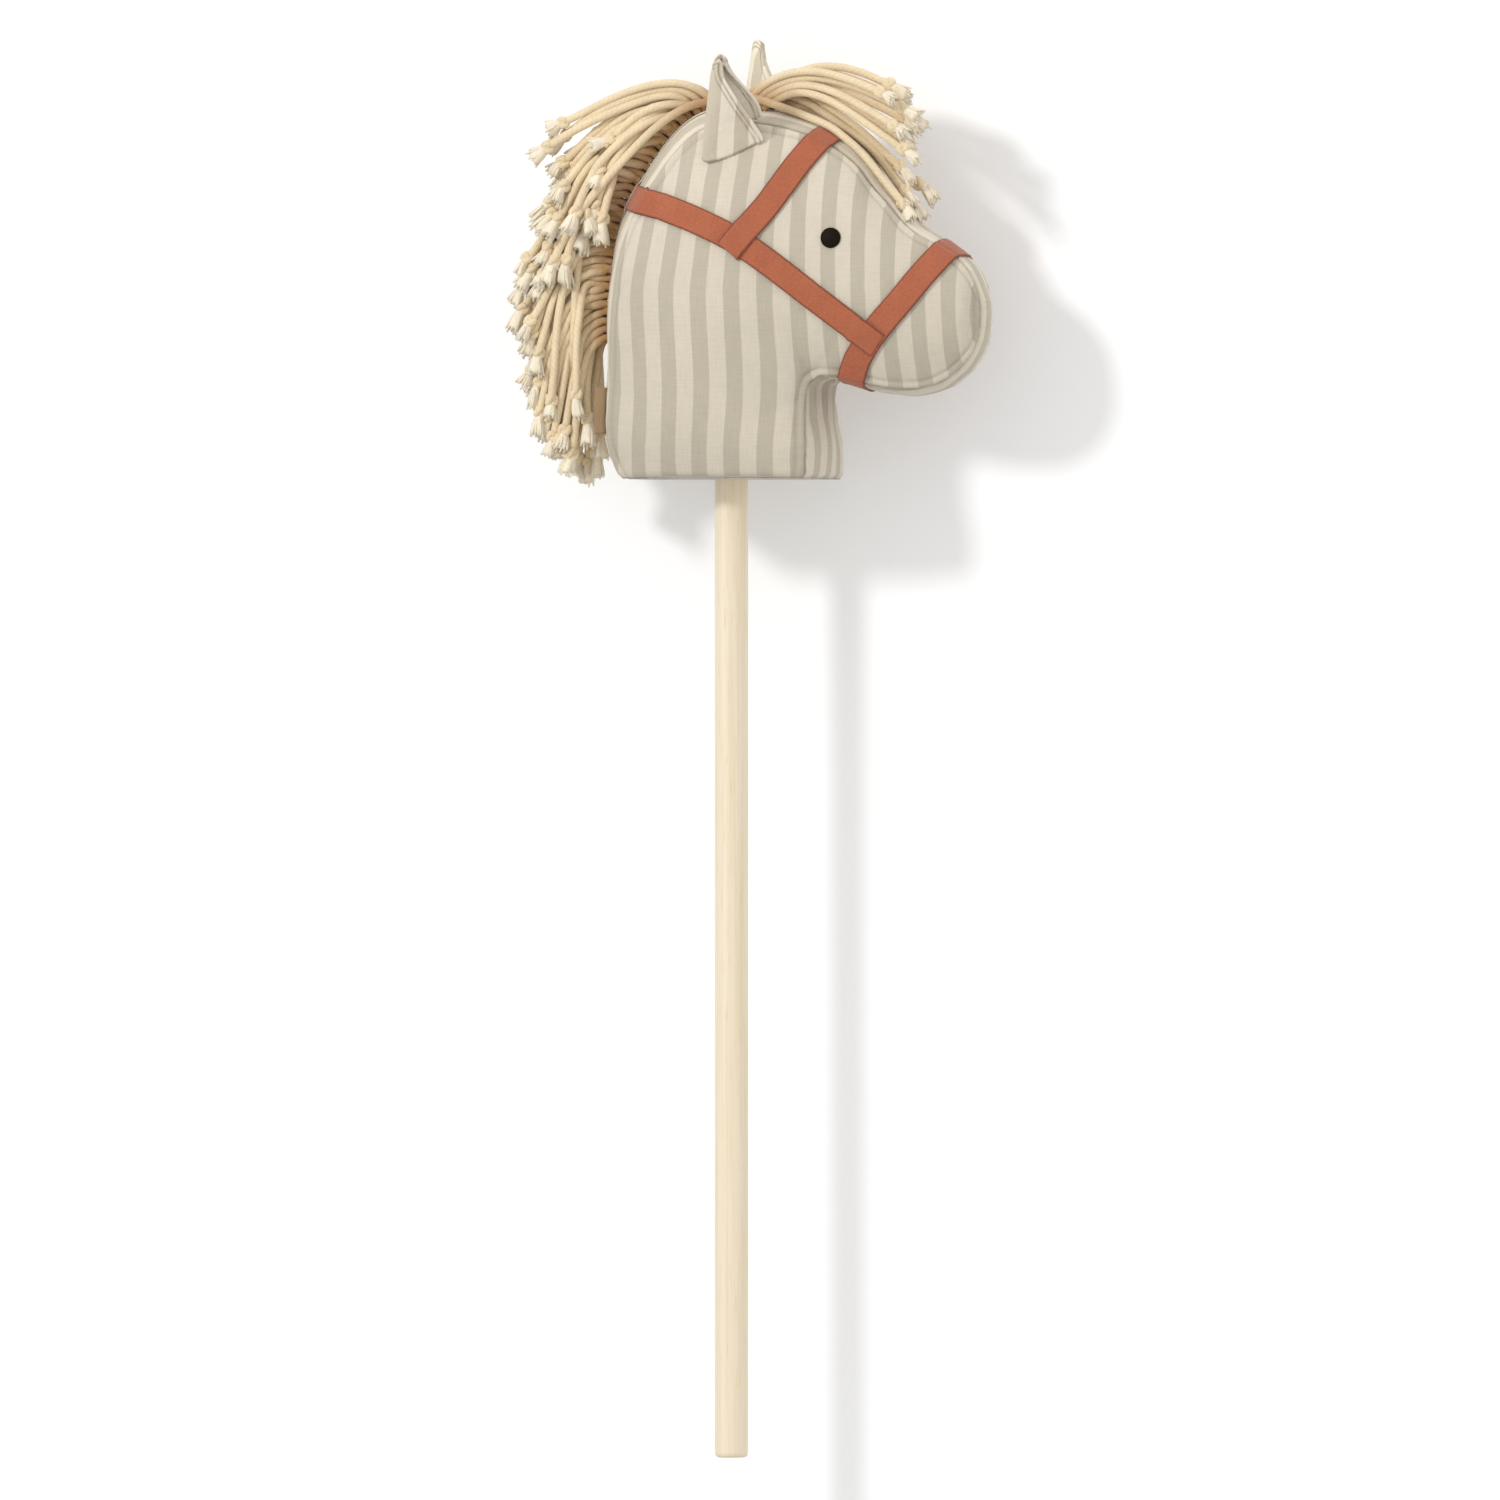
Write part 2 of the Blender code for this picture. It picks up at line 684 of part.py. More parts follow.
def ear_place(t, j):
    """How far forward and out a column of the ear stands at a share of its height."""
    s = 2 * j / EAR_COLUMNS - 1
    fold = level(EAR_FOLD, t)
    rim = level(EAR_NEAR_RIM if s < 0 else EAR_FAR_RIM, t)
    forward = fold + (rim - fold) * abs(s) ** 1.5
    across = -math.copysign(math.sin(math.pi / 2 * abs(s)) ** 0.8, s) * level(EAR_HALF_WIDTH, t)
    return forward * EAR_PART, across * EAR_PART


def ear_foot(tree, side, j):
    """Height at which a column of the ear meets the head."""
    base, along, out, up = ear_frame(side)
    forward, across = ear_place(0, j)
    start = base + along * forward + out * across + up * EAR_LENGTH
    return EAR_LENGTH - (tree.ray_cast(start, -up)[0] - start).length


def grid_normals(grid):
    """Unit normals of a grid of points."""
    rows = len(grid)
    columns = len(grid[0])
    made = []
    for i in range(rows):
        row = []
        for j in range(columns):
            down = grid[min(i + 1, rows - 1)][j] - grid[max(i - 1, 0)][j]
            over = grid[i][min(j + 1, columns - 1)] - grid[i][max(j - 1, 0)]
            row.append(over.cross(down).normalized())
        made.append(row)
    return made


def offset(grid, normals, amount):
    return [[p + n * amount for p, n in zip(*rows)] for rows in zip(grid, normals)]


def seat_feet(tree, faces, up):
    """Brings the foot of each face of the ear down to the head, all with one clearance."""
    hits = [[tree.ray_cast(foot + up * EAR_LENGTH, -up)[0] for foot in feet]
            for feet in zip(*(face[0] for face in faces))]
    ways = [[up] * len(faces) for _ in hits]
    lifts = [[RIBBON_REST] * len(faces) for _ in hits]
    for _ in range(SETTLE_ROUNDS):
        settle(tree, hits, ways, lifts, False)
    for k, face in enumerate(faces):
        face[0] = [row[k] + up * lift[k] for row, lift in zip(hits, lifts)]


def make_ears(tree, cloth, lining):
    """Each ear is an outer leaf with a lining, sewn to the head along its outer foot."""
    half = EAR_LEAVES_GAP / 2
    for name, side, rest in (("right", RIGHT, RIGHT_EAR_REST), ("left", LEFT, 0)):
        grid = ear_grid(tree, side)
        normals = grid_normals(grid)
        _, _, out, up = ear_frame(side)
        flip = -1 if normals[4][1].dot(out) < 0 else 1
        faces = [offset(grid, normals, level * flip) for level in (half + CLOTH, half, -half, -half - CLOTH)]
        seat_feet(tree, faces, up)
        front, rear = (faces[0][0][j] for j in EAR_SEWN_COLUMNS)
        axis = (front - rear).normalized()
        middle = (front + rear) / 2
        turn = Matrix.Rotation(rest * -side, 4, axis)
        swing = Matrix.Translation(middle) @ turn @ Matrix.Translation(-middle)
        for node, outer, inner, look in ((name + "_ear", *faces[:2], cloth),
                                         (name + "_ear_lining", *faces[2:], lining)):
            made = shell(node, outer, inner, look)
            made.data.transform(swing)
            set_origin(made, middle)


# Mane and forelock

def top_line(t):
    """Place and way out on the middle of the gusset over the head."""
    place, out, _, crown = seams(t, 0)[1]
    return place + out * crown, out


def tape_grids(below, start, end, steps):
    """Under and upper side of the tape that holds the cords, laid along the gusset."""
    rays = []
    for k in range(steps + 1):
        place, out = top_line(start + (end - start) * k / steps)
        rays.append((place - out * TAPE_WIDTH, out, ACROSS))
    return laid_grids(target(below), rays, TAPE_WIDTH, [TAPE_THICKNESS] * len(rays))


def tube(points, radii):
    """A closed tube along points, each with its own radius."""
    rows = []
    normal = None
    for i, point in enumerate(points):
        along = (points[min(i + 1, len(points) - 1)] - points[max(i - 1, 0)]).normalized()
        start = normal or ACROSS.cross(along)
        normal = (start - along * start.dot(along)).normalized()
        side = along.cross(normal)
        turns = [2 * math.pi * k / CORD_SIDES for k in range(CORD_SIDES)]
        rows.append(closed([point + (normal * math.cos(a) + side * math.sin(a)) * radii[i] for a in turns]))
    count = CORD_SIDES + 1
    caps = [[[points[0]] * count, rows[0]], [rows[-1], [points[-1]] * count]]
    return [rows, *caps]


def cord_route(tree, root, out, pull, end):
    """A cord's places from its root to its end: out of the tape first, then bending to its end."""
    keep = KNOT_DIAMETER / 2 + RIBBON_THICKNESS + CORD_REST
    lift = root + out * pull
    places = []
    for k in range(CORD_STEPS + 1):
        q = k / CORD_STEPS
        point = root * (1 - q) ** 2 + lift * 2 * q * (1 - q) + end * q * q
        short = keep - height_above(tree, point)
        if k > 0 and short > 0:
            normal = tree.find_nearest(point)[1]
            point = point + normal * short * min(k / 2, 1)
        places.append(point)
    return places


def cord_radii(count):
    """Radius along a cord: narrow where it is sewn, plain, then a knot, then a loose tuft."""
    plain = CORD_DIAMETER / 2
    knot = KNOT_DIAMETER / 2
    tuft = TUFT_DIAMETER / 2
    return [ROOT_DIAMETER / 2] + [plain] * (count - 4) + [knot, plain, tuft]


def make_cords(name, tape, cords, look, tape_look):
    """Cords and their tape, joined into one solid."""
    grids = []
    for places in cords:
        grids.extend(tube(places, cord_radii(len(places))))
    bundle = solid(name + "_cords", grids, look, smooth=60)
    bundle.hide_render = True
    bundle.display_type = "WIRE"
    made = shell(name, *tape, tape_look)
    join = made.modifiers.new("cords", "BOOLEAN")
    join.operation = "UNION"
    join.use_self = True
    join.object = bundle
    return made


def tape_roots(tape, start, end, count):
    """Where cords start, at even distances in the middle of a tape, each with its way out."""
    samples = [start + (end - start) * k / LOFT_SAMPLES for k in range(LOFT_SAMPLES + 1)]
    lengths = [0]
    for a, b in zip(samples, samples[1:]):
        lengths.append(lengths[-1] + (top_line(b)[0] - top_line(a)[0]).length)
    top = target([tape[1]])
    roots = []
    for k in range(count):
        share = (k + 0.5) / count
        index = next(i for i, length in enumerate(lengths) if length >= share * lengths[-1])
        place, out = top_line(samples[index])
        root = surface_hit(top, place - out * TAPE_WIDTH, out) - out * TAPE_THICKNESS / 2
        roots.append((share, root, out))
    return roots


def make_mane(head, below, look, tape_look):
    """Cords down the nape, each from the tape out, back and down, ending in a knot and a tuft."""
    rng = random.Random(7)
    tape = tape_grids(below, MANE_FROM - TAPE_END, MANE_TO + TAPE_END, MANE_TAPE_STEPS)
    cords = []
    for k, (share, root, out) in enumerate(tape_roots(tape, MANE_FROM, MANE_TO, MANE_CORDS)):
        sideways = ACROSS * (RIGHT if k % 2 else LEFT)
        x, z = keyed(MANE_ENDS, share * (len(MANE_ENDS) - 1))
        reach = rng.uniform(*MANE_REACH)
        end = root + Vector((x * X_PART, 0, z * Z_PART)) * reach + sideways * rng.uniform(*MANE_SPREAD)
        start = root + sideways * ROOT_OFFSET
        pull = level(MANE_PULLS, share) * X_PART
        cords.append(cord_route(head, start, out + sideways * MANE_LEAN, pull, end))
    return make_cords("mane", tape, cords, look, tape_look)


def make_forelock(head, below, look, tape_look):
    """Cords from between the ears that arch forward over the brow."""
    rng = random.Random(11)
    tape = tape_grids(below, FORELOCK_FROM - TAPE_END, FORELOCK_TO + TAPE_END, FORELOCK_TAPE_STEPS)
    cords = []
    for k, (_, root, _) in enumerate(tape_roots(tape, FORELOCK_FROM, FORELOCK_TO, FORELOCK_CORDS)):
        sideways = ACROSS * (RIGHT if k % 2 else LEFT)
        fan = (k * FORELOCK_FAN_STEP % FORELOCK_CORDS) / (FORELOCK_CORDS - 1)
        x, z = keyed(FORELOCK_ENDS, fan * (len(FORELOCK_ENDS) - 1))
        reach = rng.uniform(*FORELOCK_REACH)
        end = place_in_plane(x * reach, z) + sideways * rng.uniform(*FORELOCK_SPREAD)
        way = Vector(FORELOCK_WAY) + sideways * FORELOCK_LEAN
        start = root + sideways * ROOT_OFFSET
        cords.append(cord_route(head, start, way, level(FORELOCK_ARCHES, fan) * Z_PART, end))
    return make_cords("forelock", tape, cords, look, tape_look)


# Tab

def make_tab(look):
    """A folded tape caught in the right rear seam."""
    low = TAB_MIDDLE - TAB_HEIGHT / 2
    rows = []
    for k in range(TAB_STEPS + 1):
        z = low + TAB_HEIGHT * k / TAB_STEPS
        t = seam_at_height(z)
        place, out, half, _ = seams(t, 0)[1]
        rows.append((place - ACROSS * half, out))
    grids = []
    for y in (-TAB_THICKNESS / 2, TAB_THICKNESS / 2):
        grid = []
        for place, out in rows:
            root = place + out * 2 * CLEARANCE + ACROSS * y
            grid.append([root, root + out * TAB_DEPTH])
        grids.append(grid)
    return shell("back_tab", grids[0], grids[1], look)


def seam_at_height(z):
    """Place on the loft where the rear seam stands at a height above the head's floor."""
    return next(k / LOFT_SAMPLES for k in range(LOFT_SAMPLES * LAST)
                if keyed(SECTIONS, k / LOFT_SAMPLES)[3] * Z_PART >= z)


def build():
    clear_scene()
    wood = material("pine", (0.78, 0.62, 0.42), 0.55)
    stripe = material("striped_cotton", (0.66, 0.60, 0.49), 0.9)
    plain = material("plain_cotton", (0.75, 0.70, 0.60), 0.9)
    ribbon = material("terracotta_ribbon", (0.50, 0.12, 0.06), 0.8)
    cord = material("cream_cord", (0.82, 0.71, 0.50), 0.9)
    dark = material("dark_eye", (0.02, 0.012, 0.008), 0.6)
    nylon = material("white_nylon", (0.8, 0.8, 0.78), 0.5)
    fill = material("polyester_fill", (0.85, 0.85, 0.83), 1.0)

    make_stick(wood)
    make_sleeve(plain)
    make_tie(cord)
    panels = make_panels(stripe)
    make_gusset(stripe)
    make_base_panel(plain)
    stuffing = make_stuffing(fill)
    below = head_grids()
    head = target(below)
    make_eyes(head, panels, stuffing, dark, nylon)
    make_ears(head, stripe, plain)
    make_bridle(below, ribbon)
    make_mane(head, below, cord, plain)
    make_forelock(head, below, cord, plain)
    make_tab(plain)


build()
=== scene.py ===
"""Looks of the hobby horse: striped cloth head, ribbon bridle, knotted cord mane, wooden stick."""

import math
import random
from functools import cache

import bmesh
import bpy
import numpy as np
from mathutils import Matrix, Vector, noise
from mathutils.bvhtree import BVHTree
from mathutils.kdtree import KDTree


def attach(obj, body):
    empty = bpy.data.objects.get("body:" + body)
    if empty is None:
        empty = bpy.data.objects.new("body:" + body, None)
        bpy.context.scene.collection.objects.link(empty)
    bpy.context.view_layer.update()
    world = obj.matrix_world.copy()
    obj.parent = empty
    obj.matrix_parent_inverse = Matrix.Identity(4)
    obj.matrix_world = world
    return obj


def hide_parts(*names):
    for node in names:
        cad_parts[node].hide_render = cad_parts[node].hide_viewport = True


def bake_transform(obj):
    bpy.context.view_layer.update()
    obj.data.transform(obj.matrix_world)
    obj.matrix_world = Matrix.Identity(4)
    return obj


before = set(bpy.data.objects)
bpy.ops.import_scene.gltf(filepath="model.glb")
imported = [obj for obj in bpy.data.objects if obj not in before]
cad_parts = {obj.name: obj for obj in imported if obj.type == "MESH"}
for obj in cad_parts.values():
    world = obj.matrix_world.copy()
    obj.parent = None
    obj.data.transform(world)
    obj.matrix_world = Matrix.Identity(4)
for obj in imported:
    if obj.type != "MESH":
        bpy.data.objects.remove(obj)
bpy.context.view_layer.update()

MM = 0.001
ACROSS = Vector((0, 1, 0))
UP = Vector((0, 0, 1))
RIGHT = -1
LEFT = 1

# Head loft: the solid model's key sections, padded out a little at the brow, its nose seams drawn in
STICK_RADIUS = 0.011
HEAD_FLOOR = 0.6427
FLOOR = Vector((0, 0, HEAD_FLOOR))
CLOTH = 0.0014
SECTIONS = (
    (64, 0, -65, 0, 40, 38, 13, 2, 2),
    (64, 22, -74, 28, 39, 37, 19, 4, 7),
    (62, 43, -73, 75, 33, 36, 21, 3, 9),
    (62.5, 59, -70, 125, 29, 35, 22, 2, 11),
    (65, 65, -62, 160, 27, 34, 22, 2, 14),
    (70, 67, -46, 191, 25, 32, 22, 2, 15),
    (78, 67, -18, 225, 24, 30, 21, 3, 14),
    (88, 65.5, 12, 234, 23, 27, 20.5, 4, 9),
    (100, 62, 52, 228.5, 21, 24, 21, 4, 8),
    (114, 59.5, 85, 212.5, 19.5, 21, 21.5, 4, 7),
    (130, 58.5, 107, 187.5, 18, 19, 21, 4, 6),
    (147, 61.5, 127, 165, 16, 17, 20.5, 3, 4),
    (160, 70, 148, 152, 14.5, 15, 18, 2, 3),
    (170, 82.5, 166, 137.5, 12.5, 12.5, 14, 2, 2),
    (175, 98, 175.5, 116, 11, 11, 0, 2, 2),
)
LAST = len(SECTIONS) - 1

# Bridle, along the solid model's routes to within a ribbon's own give
RIBBON_WIDTH = 0.0176
RIBBON_THICKNESS = 0.0010
RIBBON_REST = 0.00025
LAYERS_ROOM = 0.006
RAY_SPACING = 0.0022
TO_RIGHT = ACROSS * RIGHT
HEADSTALL_ROUTE = ((112.3, 87), (70.3, 119), (27.3, 151), (-4.6, 167.5), (-33.5, 178.3))
HEADSTALL_OVER_NAPE = (-0.975, 0.22)
BROWBAND_ROUTE = ((14, 149), (26, 163.4), (40, 180), (57, 205))
BROWBAND_OVER_BROW = (0.58, 0.81)
NOSEBAND_ROUTE = ((145.5, 138), (129, 116), (110.5, 96), (96.7, 78))
NOSEBAND_OVER_NOSE = (0.55, 0.83)
NOSEBAND_UNDER_JAW = (-0.44, -0.90)


# Camera, lamp and stage

MM_PER_PX = 0.657
VIEW_AZIMUTH = math.radians(18)
CAMERA_DISTANCE = 20.0
SENSOR_WIDTH = 36
FRAME_WIDTH = 1500 * MM_PER_PX * MM
FRAME_CENTRE = (18.5 * MM_PER_PX * MM, 707.5 * MM_PER_PX * MM)

view_right = Vector((math.cos(VIEW_AZIMUTH), math.sin(VIEW_AZIMUTH), 0))
view_back = Vector((math.sin(VIEW_AZIMUTH), -math.cos(VIEW_AZIMUTH), 0))


def look_at(made, place, aim):
    made.location = place
    made.rotation_mode = "QUATERNION"
    made.rotation_quaternion = (aim - place).to_track_quat("-Z", "Y")


def linked(name, data):
    """A new object in the scene that holds the data."""
    made = bpy.data.objects.new(name, data)
    bpy.context.scene.collection.objects.link(made)
    return made


def make_camera():
    data = bpy.data.cameras.new("camera")
    data.sensor_width = SENSOR_WIDTH
    data.lens = SENSOR_WIDTH * CAMERA_DISTANCE / FRAME_WIDTH
    data.clip_start = 1
    data.clip_end = 60
    made = linked("camera", data)
    aim = view_right * FRAME_CENTRE[0] + UP * FRAME_CENTRE[1]
    look_at(made, aim + view_back * CAMERA_DISTANCE, aim)
    bpy.context.scene.camera = made


def make_lamp():
    """The one soft lamp, placed by how far right and down the stick's shadow falls on the wall."""
    data = bpy.data.lights.new("key", "AREA")
    data.shape = "DISK"
    data.size = KEY_SIZE
    data.energy = KEY_POWER
    along = (SHADOW_RIGHT - WALL_Y * view_right.y) / view_right.x
    way = Vector((-along, -WALL_Y, SHADOW_DOWN)).normalized()
    look_at(linked("key", data), KEY_AIM + way * KEY_DISTANCE, KEY_AIM)


def put(tree, kind, inputs=None, out=0, **settings):
    """Adds a node, with its inputs given as numbers or as sockets to link, and gives an output."""
    made = tree.nodes.new(kind)
    for key, value in settings.items():
        setattr(made, key, value)
    for key, value in (inputs or {}).items():
        if isinstance(value, bpy.types.NodeSocket):
            tree.links.new(value, made.inputs[key])
        else:
            made.inputs[key].default_value = value
    return made.outputs[out] if len(made.outputs) else made


def bare_tree(owner):
    """The node tree of a material or of the world, emptied."""
    owner.use_nodes = True
    owner.node_tree.nodes.clear()
    return owner.node_tree


def wall_paint():
    """White paint that shows to the camera alone and from its front alone, with a slight glow."""
    made = bpy.data.materials.new("studio_wall")
    tree = bare_tree(made)
    seen = put(tree, "ShaderNodeLightPath", out="Is Camera Ray")
    paint = put(tree, "ShaderNodeBsdfDiffuse", {"Color": (WALL_SHADE, WALL_SHADE, WALL_SHADE, 1)})
    glow = put(tree, "ShaderNodeEmission", {"Strength": times(tree, seen, WALL_GLOW)})
    lit = put(tree, "ShaderNodeAddShader", {0: paint, 1: glow})
    behind = put(tree, "ShaderNodeNewGeometry", out="Backfacing")
    hidden = calc(tree, "MAXIMUM", behind, calc(tree, "SUBTRACT", 1, seen))
    clear = put(tree, "ShaderNodeBsdfTransparent")
    both = put(tree, "ShaderNodeMixShader", {0: hidden, 1: lit, 2: clear})
    put(tree, "ShaderNodeOutputMaterial", {"Surface": both})
    return made


WALL_Y = 0.095
WALL_SHADE = 0.9
WALL_GLOW = 0.055
SHADOW_RIGHT = 0.077
SHADOW_DOWN = 0.045
KEY_AIM = Vector((0, 0, 0.6))
KEY_DISTANCE = 6.0
KEY_SIZE = 0.84
KEY_POWER = 140
AMBIENT = 0.84
FILL = 0.28
FILL_WAY = (0.75, -0.15, 0.65)


def make_stage():
    mesh = bpy.data.meshes.new("backdrop")
    mesh.from_pydata([(-4, WALL_Y, -2), (4, WALL_Y, -2), (4, WALL_Y, 4), (-4, WALL_Y, 4)], [], [(0, 1, 2, 3)])
    mesh.materials.append(wall_paint())
    linked("backdrop", mesh)
    world = bpy.context.scene.world or bpy.data.worlds.new("world")
    bpy.context.scene.world = world
    tree = bare_tree(world)
    rays = (put(tree, "ShaderNodeLightPath", out=kind) for kind in ("Is Camera Ray", "Is Glossy Ray"))
    seen = calc(tree, "MAXIMUM", *rays)
    way = put(tree, "ShaderNodeTexCoord", out="Generated")
    facing = put(tree, "ShaderNodeVectorMath", {0: way, 1: FILL_WAY}, out="Value", operation="DOT_PRODUCT")
    plain = calc(tree, "MULTIPLY_ADD", facing, FILL * AMBIENT, AMBIENT)
    strength = put(tree, "ShaderNodeMapRange", {"Value": seen, "To Min": plain, "To Max": 1.0})
    light = put(tree, "ShaderNodeBackground", {"Color": (1, 1, 1, 1), "Strength": strength})
    put(tree, "ShaderNodeOutputWorld", {"Surface": light})
    make_lamp()
    bpy.context.scene.view_settings.view_transform = "Standard"


# Materials

def map_parts(tree, name="cloth"):
    """A coordinate layer of the mesh, and its two parts."""
    layer = put(tree, "ShaderNodeUVMap", uv_map=name)
    return layer, *(put(tree, "ShaderNodeSeparateXYZ", {0: layer}, out=part) for part in "XY")


def painted_shade_of(tree):
    """The painted shade of a point in a crease, seam or head of hair, from 0 to 1."""
    return map_parts(tree, "depth")[1]


def object_place(tree):
    return put(tree, "ShaderNodeTexCoord", out="Object")


def new_look(name, roughness, sheen=0.0, specular=0.2):
    made = bpy.data.materials.new(name)
    made.use_nodes = True
    inputs = made.node_tree.nodes["Principled BSDF"].inputs
    for key, value in (("Roughness", roughness), ("Specular IOR Level", specular),
                       ("Sheen Weight", sheen), ("Sheen Roughness", 0.5)):
        inputs[key].default_value = value
    return made, made.node_tree


def calc(tree, kind, a, b=0.0, c=0.0):
    return put(tree, "ShaderNodeMath", {0: a, 1: b, 2: c}, operation=kind)


def times(tree, a, b):
    return calc(tree, "MULTIPLY", a, b)


def wave(tree, value, pitch):
    return calc(tree, "SINE", times(tree, value, 2 * math.pi / pitch))


def blend_colours(tree, share, a, b, mode="MIX"):
    return put(tree, "ShaderNodeMix", {0: share, 6: a, 7: b}, out=2, data_type="RGBA", blend_type=mode)


def smooth_range(tree, value, low, high, to_low=0.0, to_high=1.0):
    return put(tree, "ShaderNodeMapRange", {0: value, 1: low, 2: high, 3: to_low, 4: to_high},
               interpolation_type="SMOOTHSTEP")


def colour(r, g, b):
    """Linear colour from an sRGB one in 0 to 255."""
    return (*[((c / 255 + 0.055) / 1.055) ** 2.4 if c > 10 else c / 255 / 12.92 for c in (r, g, b)], 1)


def scaled_noise(tree, vector, scale, detail=2.0, stretch=(1, 1, 1)):
    placed = put(tree, "ShaderNodeMapping", {"Vector": vector, "Scale": stretch})
    return put(tree, "ShaderNodeTexNoise", {"Vector": placed, "Scale": scale, "Detail": detail})


def mottle(tree, vector, scale, low, high, detail=3, stretch=(1, 1, 1)):
    """Uneven shades from low to high."""
    return smooth_range(tree, scaled_noise(tree, vector, scale, detail, stretch), 0.3, 0.7, low, high)


def toned(tree, base, *shades):
    """A colour times each of the shades."""
    for shade in shades:
        base = blend_colours(tree, 1.0, base, shade, "MULTIPLY")
    return base


def woven(tree, across, along, pitch):
    """Height and thread share of a plain weave of that thread pitch."""
    over = times(tree, wave(tree, across, 2 * pitch), wave(tree, along, 2 * pitch))
    return calc(tree, "ABSOLUTE", over), calc(tree, "MULTIPLY_ADD", over, 0.5, 0.5)


def finished(made, base, *bumps):
    """Gives a material its colour and bumps, each a height, its distance in metres and its strength."""
    tree = made.node_tree
    shader = tree.nodes["Principled BSDF"]
    tree.links.new(base, shader.inputs["Base Color"])
    below = {}
    for height, distance, strength in bumps:
        inputs = {"Height": height, "Distance": distance, "Strength": strength, **below}
        below = {"Normal": put(tree, "ShaderNodeBump", inputs)}
    tree.links.new(below["Normal"], shader.inputs["Normal"])
    return made


STRIPE_PITCH = 0.0222
STRIPE_GREY = 0.0054
STRIPE_BLUR = 0.0003
STRIPE_WOBBLE = 0.0008
THREAD = 0.00055
# Heights and strengths of the painted light high up and the painted shade low down on the cloth
PAINTED_LIGHT_HEIGHTS = (0.65, 0.88)
PAINTED_LIGHT_SHADES = (0.915, 1.075)
# Strength and colour of the painted shade in creases, seams and grooves
CREASE_SHADE = 0.6
PAINTED_SHADE_COLOUR = (0.13, 0.10, 0.072, 1)
RIBBON_THREAD = 0.00045
RIB_PITCH = 0.0011
STITCH_INSET = 0.0022
STITCH_PITCH = 0.0026


def cotton(name, light, grey, striped=True):
    """Woven cotton, with woven-in stripes if striped, painted lighter high up and with painted shade low
    down.
    """
    made, tree = new_look(name, 0.88, 0.15)
    uv, across, along = map_parts(tree)
    height, over = woven(tree, across, along, THREAD)
    if striped:
        wobble = calc(tree, "SUBTRACT", scaled_noise(tree, uv, 90), 0.5)
        moved = calc(tree, "MULTIPLY_ADD", wobble, STRIPE_WOBBLE, across)
        beat = calc(tree, "FRACT", calc(tree, "MULTIPLY_ADD", moved, 1 / STRIPE_PITCH, 100.5))
        away = times(tree, calc(tree, "ABSOLUTE", calc(tree, "SUBTRACT", beat, 0.5)), STRIPE_PITCH)
        stripe = smooth_range(tree, away, STRIPE_GREY - STRIPE_BLUR, STRIPE_GREY + STRIPE_BLUR, 1.0, 0.0)
        weft = times(tree, stripe, smooth_range(tree, over, 0.2, 0.8, 1.0, 0.84))
    else:
        weft = times(tree, over, 0.35)
    slubs = (scaled_noise(tree, uv, 900, 2, stretch) for stretch in ((1, 0.08, 1), (0.08, 1, 1)))
    threads = calc(tree, "ADD", *slubs)
    # Painted light and shade by height: the cloth is paler high up and darker low down
    upward = put(tree, "ShaderNodeSeparateXYZ", {0: object_place(tree)}, out="Z")
    base = toned(tree, blend_colours(tree, weft, light, grey),
                 smooth_range(tree, threads, 0.7, 1.3, 0.955, 1.03),
                 mottle(tree, uv, 14, 0.965, 1.02),
                 smooth_range(tree, upward, *PAINTED_LIGHT_HEIGHTS, *PAINTED_LIGHT_SHADES))
    # Painted shade in creases, seams and grooves, read from the shade map named depth
    shaded = blend_colours(tree, times(tree, painted_shade_of(tree), CREASE_SHADE), base, PAINTED_SHADE_COLOUR)
    return finished(made, shaded, (height, 0.00012, 0.5), (threads, 0.00025, 0.35))


def ribbon_look():
    """Terracotta cotton tape: fine cross ribs, painted shade darkening both edges, and a stitched line inside
    each edge.
    """
    made, tree = new_look("terracotta_tape", 0.8, 0.2)
    uv, across, along = map_parts(tree)
    # Painted shade: the tape darkens towards both edges
    inward = calc(tree, "SUBTRACT", RIBBON_WIDTH / 2, calc(tree, "ABSOLUTE", across))
    edge = smooth_range(tree, inward, 0.0003, 0.0014, 1.0, 0.0)
    base = blend_colours(tree, edge, colour(171, 97, 68), colour(134, 72, 51))
    off_line = calc(tree, "ABSOLUTE", calc(tree, "SUBTRACT", inward, STITCH_INSET))
    line = smooth_range(tree, off_line, 0.0001, 0.0003, 1.0, 0.0)
    stitch = times(tree, line, smooth_range(tree, wave(tree, along, STITCH_PITCH), -0.5, -0.1))
    base = blend_colours(tree, times(tree, stitch, 0.55), base, colour(190, 120, 92))
    base = toned(tree, base, mottle(tree, uv, 1400, 0.88, 1.08, 2, (1, 0.3, 1)),
                 mottle(tree, uv, 45, 0.93, 1.05))
    height, _ = woven(tree, across, along, RIBBON_THREAD)
    rib = wave(tree, along, RIB_PITCH)
    return finished(made, base, (rib, 0.00009, 0.45), (height, 0.00006, 0.4), (stitch, 0.0002, 0.7))


CORD_PITCH = 0.011
CORD_PLIES = 3


